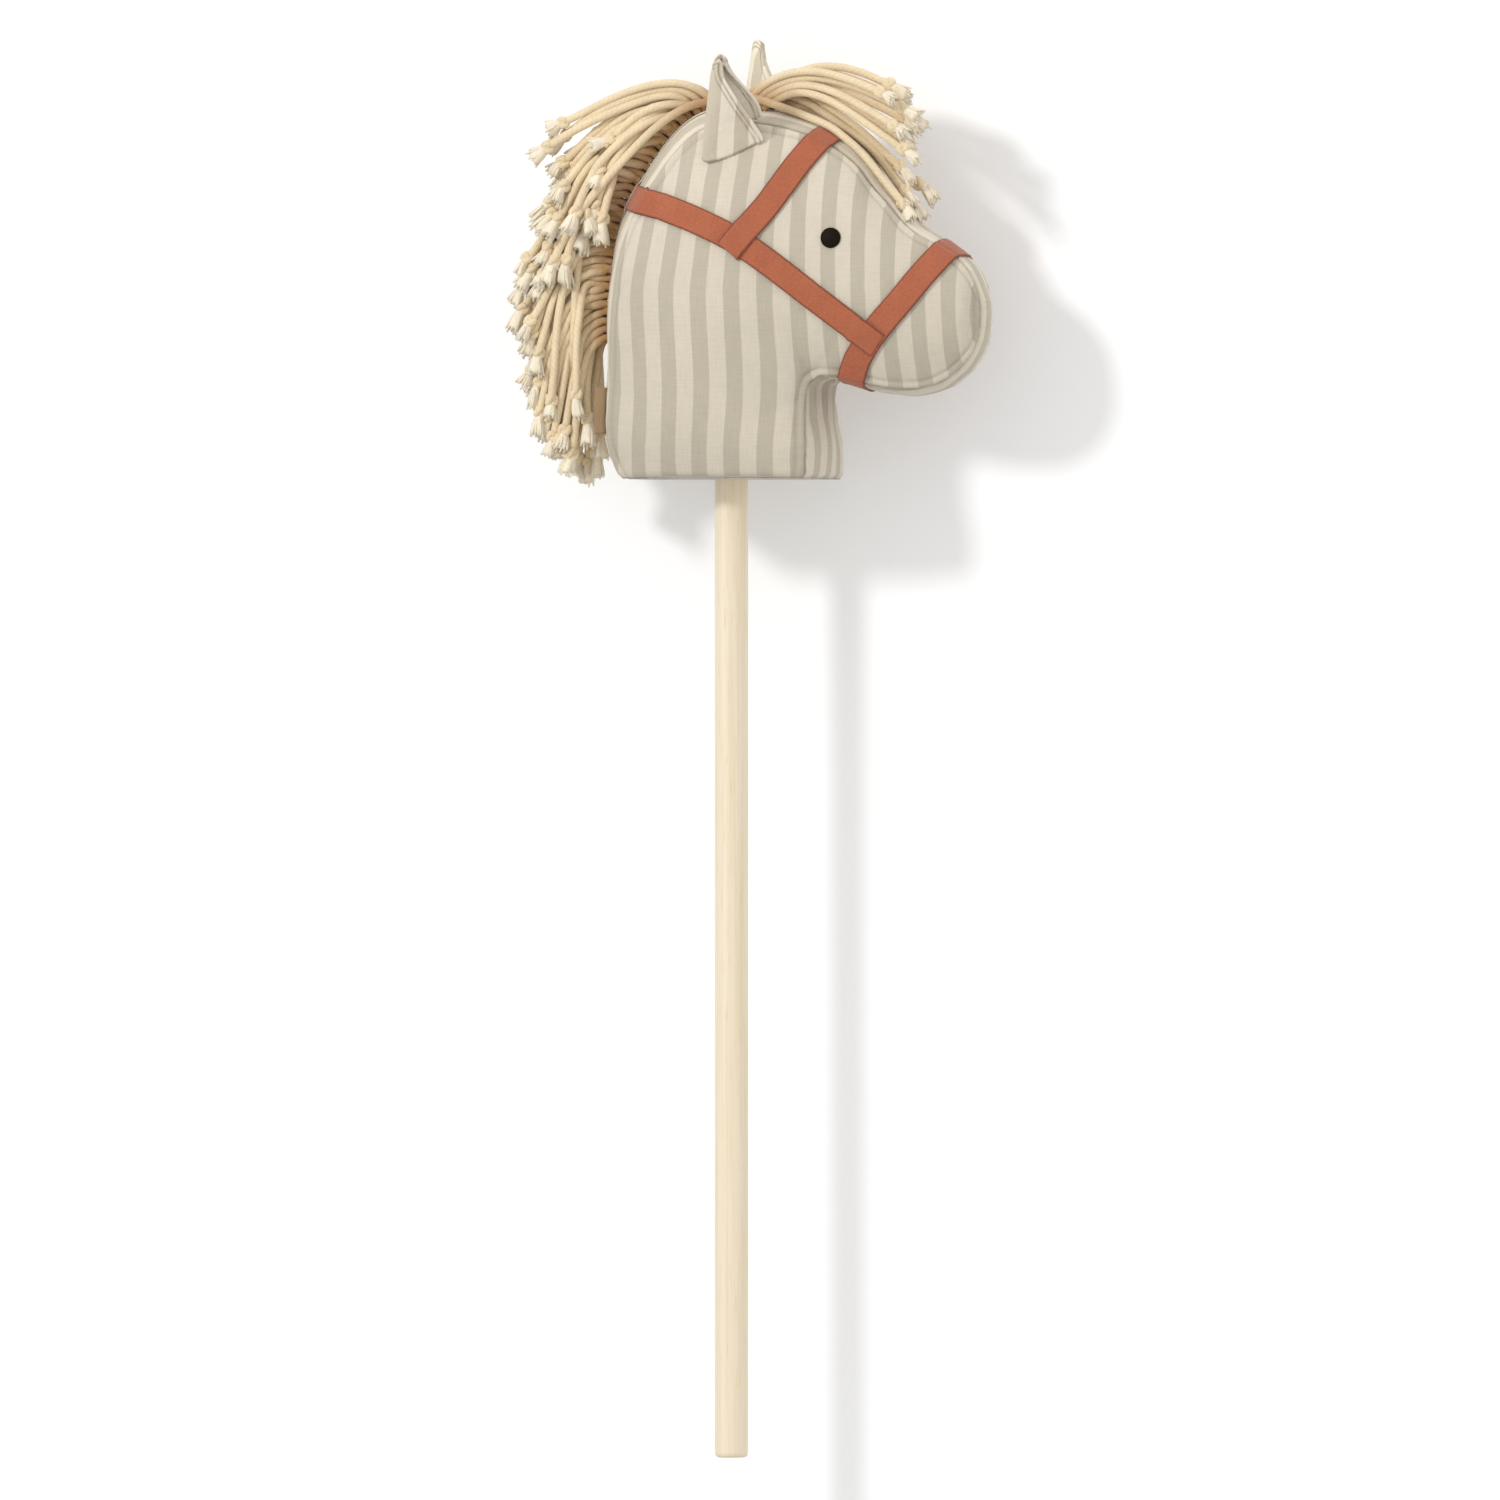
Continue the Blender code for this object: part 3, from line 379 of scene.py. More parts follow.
def cord_look(name, light, deep_shade):
    """Soft cotton cord: a slack twist, lengthwise fibres, and painted brown shade in the twist's grooves and
    in the depth of the hair.
    """
    made, tree = new_look(name, 0.95, 0.3)
    _, turn, along = map_parts(tree)
    wound = calc(tree, "MULTIPLY_ADD", turn, 2 * math.pi * CORD_PLIES,
                 times(tree, along, 2 * math.pi * CORD_PLIES / CORD_PITCH))
    strand = calc(tree, "MULTIPLY_ADD", calc(tree, "SINE", wound), 0.5, 0.5)
    around = times(tree, turn, 2 * math.pi)
    streaks = put(tree, "ShaderNodeCombineXYZ", {
        0: times(tree, calc(tree, "COSINE", around), 2.2),
        1: times(tree, calc(tree, "SINE", around), 2.2),
        2: times(tree, along, 150)})
    streak = put(tree, "ShaderNodeTexNoise", {"Vector": streaks, "Scale": 1.6, "Detail": 3})
    place = object_place(tree)
    # Painted shade: a little in the grooves between the plies, and brown where the shade map marks hair near
    # the head
    base = blend_colours(tree, smooth_range(tree, strand, 0.0, 0.5, 0.09, 0.0), light, deep_shade)
    base = toned(tree, blend_colours(tree, painted_shade_of(tree), base, deep_shade),
                 smooth_range(tree, streak, 0.3, 0.7, 0.92, 1.04), mottle(tree, place, 55, 0.95, 1.03, 2))
    fibre = scaled_noise(tree, place, 2600)
    return finished(made, base, (strand, 0.00012, 0.15), (streak, 0.0004, 0.45), (fibre, 0.00012, 0.4))


def wood_look():
    """Pale sanded wood with fine lengthwise grain and a satin finish."""
    made, tree = new_look("pale_wood", 0.48, specular=0.35)
    place = object_place(tree)
    grain, band, pores = (scaled_noise(tree, place, scale, detail, (1, 1, drawn))
                          for scale, detail, drawn in ((420, 3, 0.02), (70, 2, 0.012), (1500, 1, 0.03)))
    share = calc(tree, "MULTIPLY_ADD", smooth_range(tree, grain, 0.35, 0.7), 0.45,
                 times(tree, smooth_range(tree, band, 0.35, 0.65), 0.5))
    base = blend_colours(tree, share, colour(234, 222, 199), colour(222, 205, 176))
    base = blend_colours(tree, smooth_range(tree, pores, 0.62, 0.72, 0.0, 0.3), base, colour(196, 166, 122))
    return finished(made, base, (grain, 0.0001, 0.25), (pores, 0.0001, 0.2))


def flecked_look(name, roughness, scale, shade, other=None, specular=0.2):
    """One stuff in two mottled colours, the other a darker shade where none is given."""
    made, tree = new_look(name, roughness, specular=specular)
    fleck = scaled_noise(tree, object_place(tree), scale, 3)
    other = other or tuple(c * 0.82 for c in shade[:3]) + (1,)
    base = blend_colours(tree, smooth_range(tree, fleck, 0.3, 0.7), shade, other)
    return finished(made, base, (fleck, 0.0002, 0.4))


# Meshes from grids of points

def quads_of(shape, first=0):
    """Corners of the quads over rows and columns of points, numbered from first."""
    index = first + np.arange(shape[0] * shape[1]).reshape(shape[:2])
    return np.stack([index[:-1, :-1], index[:-1, 1:], index[1:, 1:], index[1:, :-1]], -1).reshape(-1, 4)


def grid_of(rows):
    """An array from rows of vectors."""
    return np.array([[p[:] for p in row] for row in rows])


class Builder:
    """Collects points, faces, cloth coordinates and painted crease shade of one piece."""

    def __init__(self):
        self.points, self.uvs, self.depths, self.faces = [], [], [], []
        self.count = 0

    def add(self, points, uv, depth, faces, flip):
        self.points.append(np.reshape(points, (-1, 3)))
        self.uvs.append(np.reshape(uv, (-1, 2)))
        self.depths.append(np.ravel(depth))
        self.faces += [face[::-1] for face in faces] if flip else faces
        self.count += len(self.points[-1])

    def grid(self, points, uv, flip=False, depth=0.0):
        """Quads over rows and columns of points, with their cloth coordinates."""
        shape = np.shape(points)
        self.add(points, uv, np.broadcast_to(depth, shape[:2]), quads_of(shape, self.count).tolist(), flip)

    def fan(self, ring, middle, uv, flip=False, depth=0.0):
        """A cap of triangles from a ring of points to one middle point."""
        count = len(ring)
        faces = [[self.count + k, self.count + (k + 1) % count, self.count + count] for k in range(count)]
        self.add(np.vstack([ring, [middle]]), [uv] * (count + 1), [depth] * (count + 1), faces, flip)

    def finish(self, name, look, merge=2e-6):
        mesh = bpy.data.meshes.new(name)
        mesh.from_pydata(np.vstack(self.points).tolist(), [], self.faces)
        corner = np.zeros(len(mesh.loops), np.int32)
        mesh.loops.foreach_get("vertex_index", corner)
        depths = np.repeat(np.concatenate(self.depths)[:, None], 2, axis=1)
        for key, values in (("cloth", np.vstack(self.uvs)), ("depth", depths)):
            layer = mesh.uv_layers.new(name=key)
            layer.data.foreach_set("uv", values[corner].astype(np.float32).ravel())
        bm = bmesh.new()
        bm.from_mesh(mesh)
        bmesh.ops.remove_doubles(bm, verts=bm.verts, dist=merge)
        bmesh.ops.dissolve_degenerate(bm, edges=bm.edges, dist=1e-7)
        bmesh.ops.recalc_face_normals(bm, faces=bm.faces)
        bm.to_mesh(mesh)
        bm.free()
        mesh.shade_smooth()
        mesh.materials.append(look)
        return linked(name, mesh)


def edges_of(array, ring=None):
    """The border columns and rows of a grid, but for those where it closes in a ring along that axis."""
    columns = [] if ring == 1 else [array[:, 0], array[:, -1]]
    return columns if ring == 0 else columns + [array[0], array[-1]]


def shell(name, outer, inner, uv, look, depth=0.0, inner_painted_shade=0.0, edge_painted_shade=0.0, ring=None):
    """A closed sheet from an outer and an inner array of points."""
    build = Builder()
    build.grid(outer, uv, depth=depth)
    build.grid(inner, uv, flip=True, depth=inner_painted_shade)
    for a, b, c in zip(*(edges_of(array, ring) for array in (outer, inner, uv))):
        build.grid(np.stack([a, b]), np.stack([c, c]), depth=edge_painted_shade)
    return build.finish(name, look)


def normals_of(points):
    """Unit normals of an array of rows and columns of points."""
    made = np.cross(np.gradient(points, axis=1), np.gradient(points, axis=0))
    return made / np.maximum(np.linalg.norm(made, axis=2, keepdims=True), 1e-12)


def turned_to(normal, way):
    """The normals, all flipped if they point against a way."""
    return -normal if (normal * way).sum() < 0 else normal


def bell(x, width):
    """One at 0, and less over a width to either side."""
    return np.exp(-((x / width) ** 2))


def lengths_along(points, axis):
    """Distance of each point from the first one, along rows or columns."""
    total = np.cumsum(np.linalg.norm(np.diff(points, axis=axis), axis=2), axis=axis)
    return np.concatenate([np.zeros_like(total[:1] if axis == 0 else total[:, :1]), total], axis=axis)


def keyed(rows, t):
    """The row at t on a smooth curve through the rows, numbered from 0."""
    i = min(int(t), len(rows) - 2)
    f = t - i
    ends = [rows[min(max(k, 0), len(rows) - 1)] for k in (i - 1, i, i + 1, i + 2)]
    return [0.5 * (2 * b + (c - a) * f + (2 * a - 5 * b + 4 * c - d) * f * f + (3 * b - a - 3 * c + d) * f**3)
            for a, b, c, d in zip(*ends)]


def level(pairs, share):
    """Value at a share of a length, on straight runs between pairs."""
    return float(np.interp(share, *zip(*pairs)))


def soft_level(pairs, share):
    """As level, with its corners rounded."""
    steps = np.array((-0.08, -0.04, 0, 0.04, 0.08))
    return float(np.interp(np.clip(share + steps, 0, 1), *zip(*pairs)).mean())


# The head's covers

def seams(t, inset=0.0):
    """Lower and upper seam at t: place in the middle plane, way out, half width and crown."""
    now, before, after = (keyed(SECTIONS, k) for k in (t, max(t - 0.05, 0), min(t + 0.05, LAST)))
    made = []
    for x, turn, half, crown in ((0, 1, 4, 7), (2, -1, 5, 8)):
        out = Vector((after[x + 1] - before[x + 1], 0, before[x] - after[x])) if t else Vector((1, 0, 0))
        out = out.normalized() * turn
        place = Vector((now[x], 0, now[x + 1])) * MM + FLOOR - out * inset
        made.append((place, out, now[half] * MM - inset, now[crown] * MM))
    return made


PANEL_COLUMNS = 72
GUSSET_COLUMNS = 28
ROWS_PER_SECTION = 11


def panel_share(j, columns=PANEL_COLUMNS):
    """Place across a side panel, much closer together near the seams."""
    even = j / columns
    return 0.35 * even + 0.65 * (0.5 * (1 - math.cos(math.pi * even)))


def panel_row(t, side, inset=0.0, columns=PANEL_COLUMNS):
    (lower, _, lower_half, _), (upper, _, upper_half, _) = seams(t, inset)
    swell = max(keyed(SECTIONS, t)[6], 0) * MM
    row = []
    for s in (panel_share(j, columns) for j in range(columns + 1)):
        half = lower_half * (1 - s) + upper_half * s + swell * max(math.sin(math.pi * s), 0) ** 0.62
        row.append(lower.lerp(upper, s) + ACROSS * side * half)
    return row


def gusset_row(edge, columns=GUSSET_COLUMNS):
    place, out, half, crown = edge
    row = []
    for k in range(columns + 1):
        v = 2 * k / columns - 1
        v = 0.55 * v + 0.45 * math.sin(math.pi / 2 * v)
        row.append(place + out * crown * (1 - v * v) + ACROSS * v * half)
    return row


def stations(per_section=ROWS_PER_SECTION):
    return [k / per_section for k in range(LAST * per_section + 1)]


OUTLINE_STEP = 0.001
OUTLINE_EASE = 6
OUTLINE_REACH = 0.025
OUTLINE_ENDS = 0.03


def eased_line(line, spread=OUTLINE_EASE):
    """A line of places with its corners rounded, by a bell-shaped average of spread steps."""
    reach = 4 * spread
    weights = np.exp(-0.5 * (np.arange(-reach, reach + 1) / spread) ** 2)
    long = np.pad(line, ((reach, reach), (0, 0)), mode="edge")
    return np.stack([np.convolve(long[:, k], weights / weights.sum(), "valid") for k in (0, 1)], -1)


@cache
def outline_shift():
    """Places along the head's outline in the middle plane, and how far each moves to round its corners."""
    under, over = ([seams(t)[k][0] for t in stations()] for k in (0, 1))
    corners = np.array([(p.x, p.z) for p in under + over[::-1]])
    run = np.r_[0, np.cumsum(np.linalg.norm(np.diff(corners, axis=0), axis=1))]
    even = np.arange(0, run[-1], OUTLINE_STEP)
    line = np.stack([np.interp(even, run, corners[:, k]) for k in (0, 1)], -1)
    soft = eased_line(line)
    shift = 2 * soft - eased_line(soft) - line
    share = np.clip(np.minimum(even, run[-1] - even) / OUTLINE_ENDS, 0, 1)
    return line, shift * (share * share * (3 - 2 * share))[:, None]


def rounded(points):
    """Head points moved with the outline near them."""
    line, shift = outline_shift()
    for row in points:
        away = np.linalg.norm(row[:, None, ::2] - line, axis=2)
        row[:, ::2] += shift[away.argmin(axis=1)] * bell(away.min(axis=1), OUTLINE_REACH)[:, None]
    return points


def panel_points(side, inset=0.0, columns=PANEL_COLUMNS, per_section=ROWS_PER_SECTION):
    return rounded(grid_of(panel_row(t, side, inset, columns) for t in stations(per_section)))


def gusset_points(inset=0.0, columns=GUSSET_COLUMNS, per_section=ROWS_PER_SECTION, nose_steps=PANEL_COLUMNS):
    """Rows from the chest under the jaw, round the nose and back over the head to the nape."""
    lower, upper = ([seams(t, inset)[k] for t in stations(per_section)] for k in (0, 1))
    nose = []
    for j in range(1, nose_steps):
        s = panel_share(j, nose_steps)
        place, out = (a.lerp(b, s) for a, b in zip(lower[-1][:2], upper[-1][:2]))
        half, crown = (a * (1 - s) + b * s for a, b in zip(lower[-1][2:], upper[-1][2:]))
        nose.append((place, out.normalized(), half, crown))
    return rounded(grid_of(gusset_row(edge, columns) for edge in lower + nose + upper[::-1]))


def noise_at(points, scale, seed):
    """Smooth noise, from -1 to 1, at an array of points."""
    flat = points.reshape(-1, 3) / scale + seed
    return np.array([noise.noise(Vector(p)) for p in flat]).reshape(points.shape[:-1])


def seam_profile(d, welt):
    """How far a cover stands out at a distance from its seam, with the welt's groove or without."""
    mm = d / MM
    return (-1.5 * bell(mm, 1.0) + 0.75 * bell(mm - 3.4, 1.9) - welt * 0.75 * bell(mm - WELT, 1.3)) * MM


def seam_painted_shade(d, welt):
    """Painted shade of the seam's own crease and of the stitched groove beside it."""
    mm = d / MM
    return np.maximum(0.75 * bell(mm, 0.7), welt * 0.3 * bell(mm - WELT, 1.0))


FLOOR_SHADE = 0.8
FLOOR_ROLL = 0.0022
COVER_SKIN = CLOTH - 0.0003
# How far the stitched groove lies from its seam, in millimetres
WELT = 7.4


def finish_cover(name, base, normal, rise, d_floor, uv, look, depth):
    """A cover's closed skin and its outer points, the edge on the head's underside rolled in and darkened
    with painted shadow.
    """
    rise = rise - FLOOR_ROLL * bell(d_floor, FLOOR_ROLL)
    outer = base + normal * rise[..., None]
    inner = outer - normal * COVER_SKIN
    # Painted shadow along the edge on the head's underside
    depth = np.maximum(depth, FLOOR_SHADE * bell(d_floor, 0.0011))
    return shell(name, outer, inner, uv, look, depth), outer


STRIPE_AT = 0.0816
STRIPE_SLOPE = 0.006
CHEEK_DRAW = 0.10
CHEEK_FROM = 0.066
POLL_LEAN = ((-0.06, 16), (-0.03, 10), (0.0, 8), (0.03, 5), (0.06, 0))
POLL_LEAN_FROM = 0.125
POLL_LEAN_OVER = 0.078


def eased(values):
    """Rows averaged with those before and after."""
    wide = np.pad(values, ((1, 1), (0, 0)), mode="edge")
    return (wide[:-2] + 2 * wide[1:-1] + wide[2:]) / 4


def blurred(values, rounds):
    """Values averaged over their neighbours along rows and columns, a few times over."""
    for _ in range(2 * rounds):
        values = eased(values).T
    return values


def stripe_places(points, side):
    """Distance across the cloth of each point from the reference stripe, at its own height."""
    target = tree_of([points])
    xs = np.arange(-0.095, 0.19, 0.0025)
    zs = np.arange(-0.004, 0.252, 0.004)
    table = np.zeros((len(zs), len(xs)))
    for row, z in zip(table, zs):
        hits = [target.ray_cast(Vector((x, side * 0.2, z + HEAD_FLOOR)), ACROSS * -side)[0] for x in xs]
        known = [k for k, hit in enumerate(hits) if hit is not None]
        if len(known) < 2:
            row[:] = xs - STRIPE_AT
            continue
        depth = np.interp(xs, xs[known], [hits[k].y for k in known])
        steps = np.sqrt(np.diff(xs) ** 2 + np.minimum(np.abs(np.diff(depth)), STRIPE_SLOPE) ** 2)
        run = np.concatenate([[0], np.cumsum(steps)])
        middle = min(max(STRIPE_AT, xs[known[0]]), xs[known[-1]])
        row[:] = run - np.interp(middle, xs, run) + (middle - STRIPE_AT)
    for _ in range(60):
        table = eased(table)
    # The cheek's cloth is drawn a little closer and the poll's leans forward
    table += CHEEK_DRAW * np.maximum(xs - CHEEK_FROM, 0)
    lean = np.interp(xs, *np.array(POLL_LEAN).T) * MM
    table -= np.clip((zs - POLL_LEAN_FROM) / POLL_LEAN_OVER, 0, 1.3)[:, None] * lean
    fx = np.clip((points[..., 0] - xs[0]) / (xs[1] - xs[0]), 0, len(xs) - 1.001)
    fz = np.clip((points[..., 2] - HEAD_FLOOR - zs[0]) / (zs[1] - zs[0]), 0, len(zs) - 1.001)
    ix, iz = fx.astype(int), fz.astype(int)
    fx, fz = fx - ix, fz - iz
    below, above = (table[k, ix] * (1 - fx) + table[k, ix + 1] * fx for k in (iz, iz + 1))
    return below * (1 - fz) + above * fz


def tree_of(arrays):
    """A ray target from arrays of points."""
    points, faces = [], []
    for array in arrays:
        faces += quads_of(array.shape, len(points)).tolist()
        points += map(Vector, array.reshape(-1, 3))
    return BVHTree.FromPolygons(points, faces)


def pucker(d, along, seed):
    """Small gathers along a seam."""
    line = np.stack([along / 0.0055, np.full_like(along, seed), d / 0.02], -1)
    return noise_at(line, 1, 0) * np.exp(-d / 0.006) * 0.0007


SLACK = 0.035
SLACK_REACH = 0.03
SETTLE_FRAMES = 20
DRAWN_IN_BY = 12
FOLD_HEIGHT = 0.0010
FOLD_REACH = 0.028
FOLD_BLUR = 5
CLOTH_SETTINGS = {
    "quality": 6, "mass": 0.1, "tension_stiffness": 10, "compression_stiffness": 10,
    "shear_stiffness": 3, "bending_stiffness": 0.02, "vertex_group_mass": "held",
    "use_pressure": True, "uniform_pressure_force": 2.0}


def settled_folds(points, normal, d, row_step, column_step):
    """Cloth simulation of a cover that is cut too wide along its seams and held there: its small folds."""
    rows, columns = (np.unique(np.r_[0:size:step, size - 1])
                     for size, step in zip(d.shape, (row_step, column_step)))
    coarse, way, near = (array[np.ix_(rows, columns)] for array in (points, normal, d))
    quads = quads_of(near.shape)
    middle = len(quads) // 2
    mesh = bpy.data.meshes.new("settling")
    mesh.from_pydata(coarse.reshape(-1, 3).tolist(), [], quads.tolist())
    if np.dot(mesh.polygons[middle].normal, way.reshape(-1, 3)[quads[middle][0]]) < 0:
        mesh.flip_normals()
    made = linked("settling", mesh)
    edge = np.ones(near.shape, bool)
    edge[1:-1, 1:-1] = False
    made.vertex_groups.new(name="held").add(np.flatnonzero(edge).tolist(), 1.0, "REPLACE")
    made.shape_key_add(name="sewn")
    cut = made.shape_key_add(name="cut")
    share = np.clip(1 - near / SLACK_REACH, 0, 1)[..., None]
    centre = coarse.reshape(-1, 3).mean(axis=0)
    wide = centre + (coarse - centre) * (1 + SLACK * share)
    cut.data.foreach_set("co", wide.astype(np.float32).ravel())
    for number, value in ((1, 1.0), (DRAWN_IN_BY, 0.0)):
        cut.value = value
        cut.keyframe_insert("value", frame=number)
    cloth = made.modifiers.new("cloth", "CLOTH")
    for key, value in CLOTH_SETTINGS.items():
        setattr(cloth.settings, key, value)
    cloth.settings.effector_weights.gravity = 0
    cloth.collision_settings.use_collision = False
    for number in range(1, SETTLE_FRAMES + 1):
        bpy.context.scene.frame_set(number)
    seen = made.evaluated_get(bpy.context.evaluated_depsgraph_get())
    places = np.zeros(near.size * 3, np.float32)
    seen.data.vertices.foreach_get("co", places)
    moved = ((places.reshape(coarse.shape) - coarse) * way).sum(axis=2)
    bpy.data.objects.remove(made)
    bpy.context.scene.frame_set(1)
    folds = np.tanh(blurred(moved - blurred(moved, FOLD_BLUR), 1) / FOLD_HEIGHT) * FOLD_HEIGHT
    folds *= np.exp(-near / FOLD_REACH)
    for size, known in zip(d.shape[::-1], (columns, rows)):
        folds = np.array([np.interp(np.arange(size), known, row) for row in folds]).T
    return folds


THROAT = (0.064, 0.058)
THROAT_REACH = (0.030, 0.045)
THROAT_FOLD = 0.0008
# How the filling swells a side cover: size, seed and height of the noise
UNEVEN = ((0.05, 5.0, 0.0012), (0.018, 9.0, 0.0003))

# Soft creases of the side covers: start and end in the XZ plane, width and depth, in millimetres
CREASES = (
    (64, 70, 52, 108, 4.0, 1.5),
    (68, 69, 84, 92, 3.5, 1.1),
    (60, 52, 34, 40, 3.5, 0.9),
    (66, 30, 40, 22, 3.0, 0.7),
    (-71, 120, -40, 134, 4.0, 0.9),
    (-70, 60, -44, 48, 4.5, 0.8),
    (-20, 222, 2, 196, 4.0, 0.9),
    (46, 222, 38, 196, 3.5, 0.8),
    (126, 66, 118, 84, 3.0, 0.7),
    (150, 66, 142, 84, 3.0, 0.7),
    (106, 205, 98, 186, 3.0, 0.7),
    (132, 176, 124, 160, 3.0, 0.6),
)


def crease(base, d, x0, z0, x1, z1, width, depth):
    """How far a soft crease draws a side cover in."""
    run = np.array((x1 - x0, z1 - z0)) * MM
    flat = base[..., ::2] - (x0 * MM, z0 * MM + HEAD_FLOOR)
    share = np.clip((flat @ run) / (run @ run), 0, 1)
    off = np.linalg.norm(flat - share[..., None] * run, axis=-1)
    return depth * MM * bell(off, width * MM) * (1 - share) ** 0.7 * np.clip(d / 0.004, 0, 1)


def make_panel(name, side, look):
    """A side panel with rolled seams, gathers and soft unevenness of the filling."""
    base = panel_points(side)
    normal = turned_to(normals_of(base), (0, side, 0))
    across, along = (lengths_along(base, axis) for axis in (1, 0))
    d = np.minimum(np.minimum(across, across[:, -1:] - across), along[-1:] - along)
    uneven = sum(noise_at(base, size, seed + side) * height for size, seed, height in UNEVEN)
    # Soft folds that run from the throat into the neck
    x = base[..., 0] - THROAT[0]
    z = base[..., 2] - HEAD_FLOOR
    near = bell(x, THROAT_REACH[0]) * bell(z - THROAT[1], THROAT_REACH[1])
    folds = near * np.cos(x / 0.0055 + z / 0.03) * THROAT_FOLD
    rise = seam_profile(d, True) + pucker(d, along, 3.1 + side)
    rise += (uneven + folds) * np.clip(d / 0.012, 0, 1)
    rise -= sum(crease(base, d, *row) for row in CREASES)
    rise += settled_folds(base, normal, np.minimum(d, along), 3, 2)
    uv = np.stack([stripe_places(base, side), base[..., 2]], -1)
    # Painted shade along the seams and in the stitched grooves
    return finish_cover(name, base, normal, rise, along, uv, look, seam_painted_shade(d, True))


CHEST_SHADE = 0.28
CHEST_FOLDS = ((0.0105, 0.0, 0.0016), (0.0062, 1.0, 0.0006))


def make_gusset(look):
    base = gusset_points()
    normal = turned_to(normals_of(base), base - (0.05, 0, HEAD_FLOOR + 0.12))
    across, along = (lengths_along(base, axis) for axis in (1, 0))
    half = across[:, -1:] / 2
    w = across - half
    d = half - np.abs(w)
    fade = np.clip(d / 0.010, 0, 1)
    rise = seam_profile(d, False) + pucker(d, along, 7.7) + noise_at(base, 0.045, 2.0) * 0.0009 * fade
    # Upright folds of the chest under the throat
    chest = (base[..., 0] < 0.075) & (np.arange(len(base))[:, None] < 5.2 * ROWS_PER_SECTION)
    grow = chest * np.clip((base[..., 2] - HEAD_FLOOR - 0.012) / 0.04, 0, 1) ** 1.5
    folds = sum(np.cos(w / pitch * 2 * math.pi + start) * height for pitch, start, height in CHEST_FOLDS)
    rise += folds * grow * fade + settled_folds(base, normal, d, 3, 1) * 0.6
    # Painted shade in the seams and on the chest under the throat
    depth = np.maximum(seam_painted_shade(d, False), CHEST_SHADE * grow)
    d_floor = np.minimum(along, along[-1:] - along)
    uv = np.stack([w, along], -1)
    return finish_cover("gusset_cover", base, normal, rise, d_floor, uv, look, depth)


def floor_outline(inset, across, ends):
    """The head's lower edge as a closed line, the angle of each of its points, and a ring's way there."""
    lower, upper = seams(0, inset)
    right, left = (panel_row(0, side, inset, across) for side in (RIGHT, LEFT))
    line = right + gusset_row(upper, ends)[1:-1] + left[::-1] + gusset_row(lower, ends)[-2:0:-1]
    edge = grid_of([line + line[:1]])[0]
    angle = np.arctan2(edge[:, 1], edge[:, 0])
    return edge, angle, np.stack([np.cos(angle), np.sin(angle), np.zeros(len(edge))], -1)


def make_base(look):
    """The head's underside: a cloth floor that dips to the stick, with small gathers round it."""
    edge, angle, ring = floor_outline(0.0016, 28, 12)
    rows = []
    for k in range(BASE_STEPS + 1):
        s = k / BASE_STEPS
        flat = edge * (1 - s) + ring * (STICK_RADIUS + 0.0005) * s
        reach = np.linalg.norm(flat[:, :2], axis=1) - STICK_RADIUS
        gather = BASE_GATHER * np.exp(-reach / 0.012) * np.sin(angle * 17 + np.sin(angle * 5))
        belly = BASE_BELLY * math.sin(math.pi * min(s * 1.25, 1)) ** 0.7
        flat[:, 2] = HEAD_FLOOR + BASE_RISE - belly + gather * (k < BASE_STEPS)
        rows.append(flat)
    under = np.array(rows)
    uv = under[..., :2]
    # Painted shadow near the outer edge of the head's underside
    depth = FLOOR_SHADE * bell(np.linalg.norm(uv - uv[:1], axis=2), 0.0025)
    top = under + np.array(UP) * CLOTH * 0.8
    return shell("base_cover", under, top, uv, look, depth, depth, FLOOR_SHADE, ring=1)


BASE_STEPS = 26
BASE_RISE = 0.0009
BASE_GATHER = 0.0006
BASE_BELLY = 0.0008
FILLING_RISE = 0.0032
FILLING_INSET = 0.0045
FILLING_BORE = STICK_RADIUS + 0.0025
FILLING_TOP = 0.1785


def make_filling(look):
    """The filling under the covers, a soft uneven body."""
    parts = [panel_points(side, FILLING_INSET, 24, 4) for side in (RIGHT, LEFT)]
    parts.append(gusset_points(FILLING_INSET, 8, 4, 24))
    edge, _, ring = floor_outline(FILLING_INSET, 24, 8)
    hole = ring * FILLING_BORE + np.array(FLOOR)
    raised = edge * (0.985, 0.985, 1)
    raised[:, 2] = hole[:, 2] = HEAD_FLOOR + FILLING_RISE
    top = hole.copy()
    top[:, 2] = HEAD_FLOOR + FILLING_TOP
    parts.append(np.array([edge, raised, hole, top]))
    build = Builder()
    for part in parts:
        build.grid(part, part[..., :2])
    build.fan(top[:-1], (0, 0, HEAD_FLOOR + FILLING_TOP), (0, 0))
    return build.finish("head_filling", look)


# Ribbons laid on the head

def first_hit(tree, starts, way):
    """Where a ray along a way first meets the tree, from the first of the starts that has such a place."""
    for start in starts:
        place = tree.ray_cast(start, way)[0]
        if place is not None:
            return place
    raise ValueError(f"no surface is met along {tuple(way)}")


def surface_hit(tree, inside, way):
    """Where a ray from inside the head comes out on top of the layers laid on it."""
    steps = (0, 0.0003, -0.0003, 0.0008, -0.0008)
    skin = first_hit(tree, (inside + Vector((step, 0, step * 0.7)) for step in steps), way)
    top = tree.ray_cast(skin + way * LAYERS_ROOM, -way)[0]
    return skin if top is None else top


def height_above(tree, point):
    place, normal, _, _ = tree.find_nearest(point)
    away = point - place
    return away.length if away.dot(normal) >= 0 else -away.length


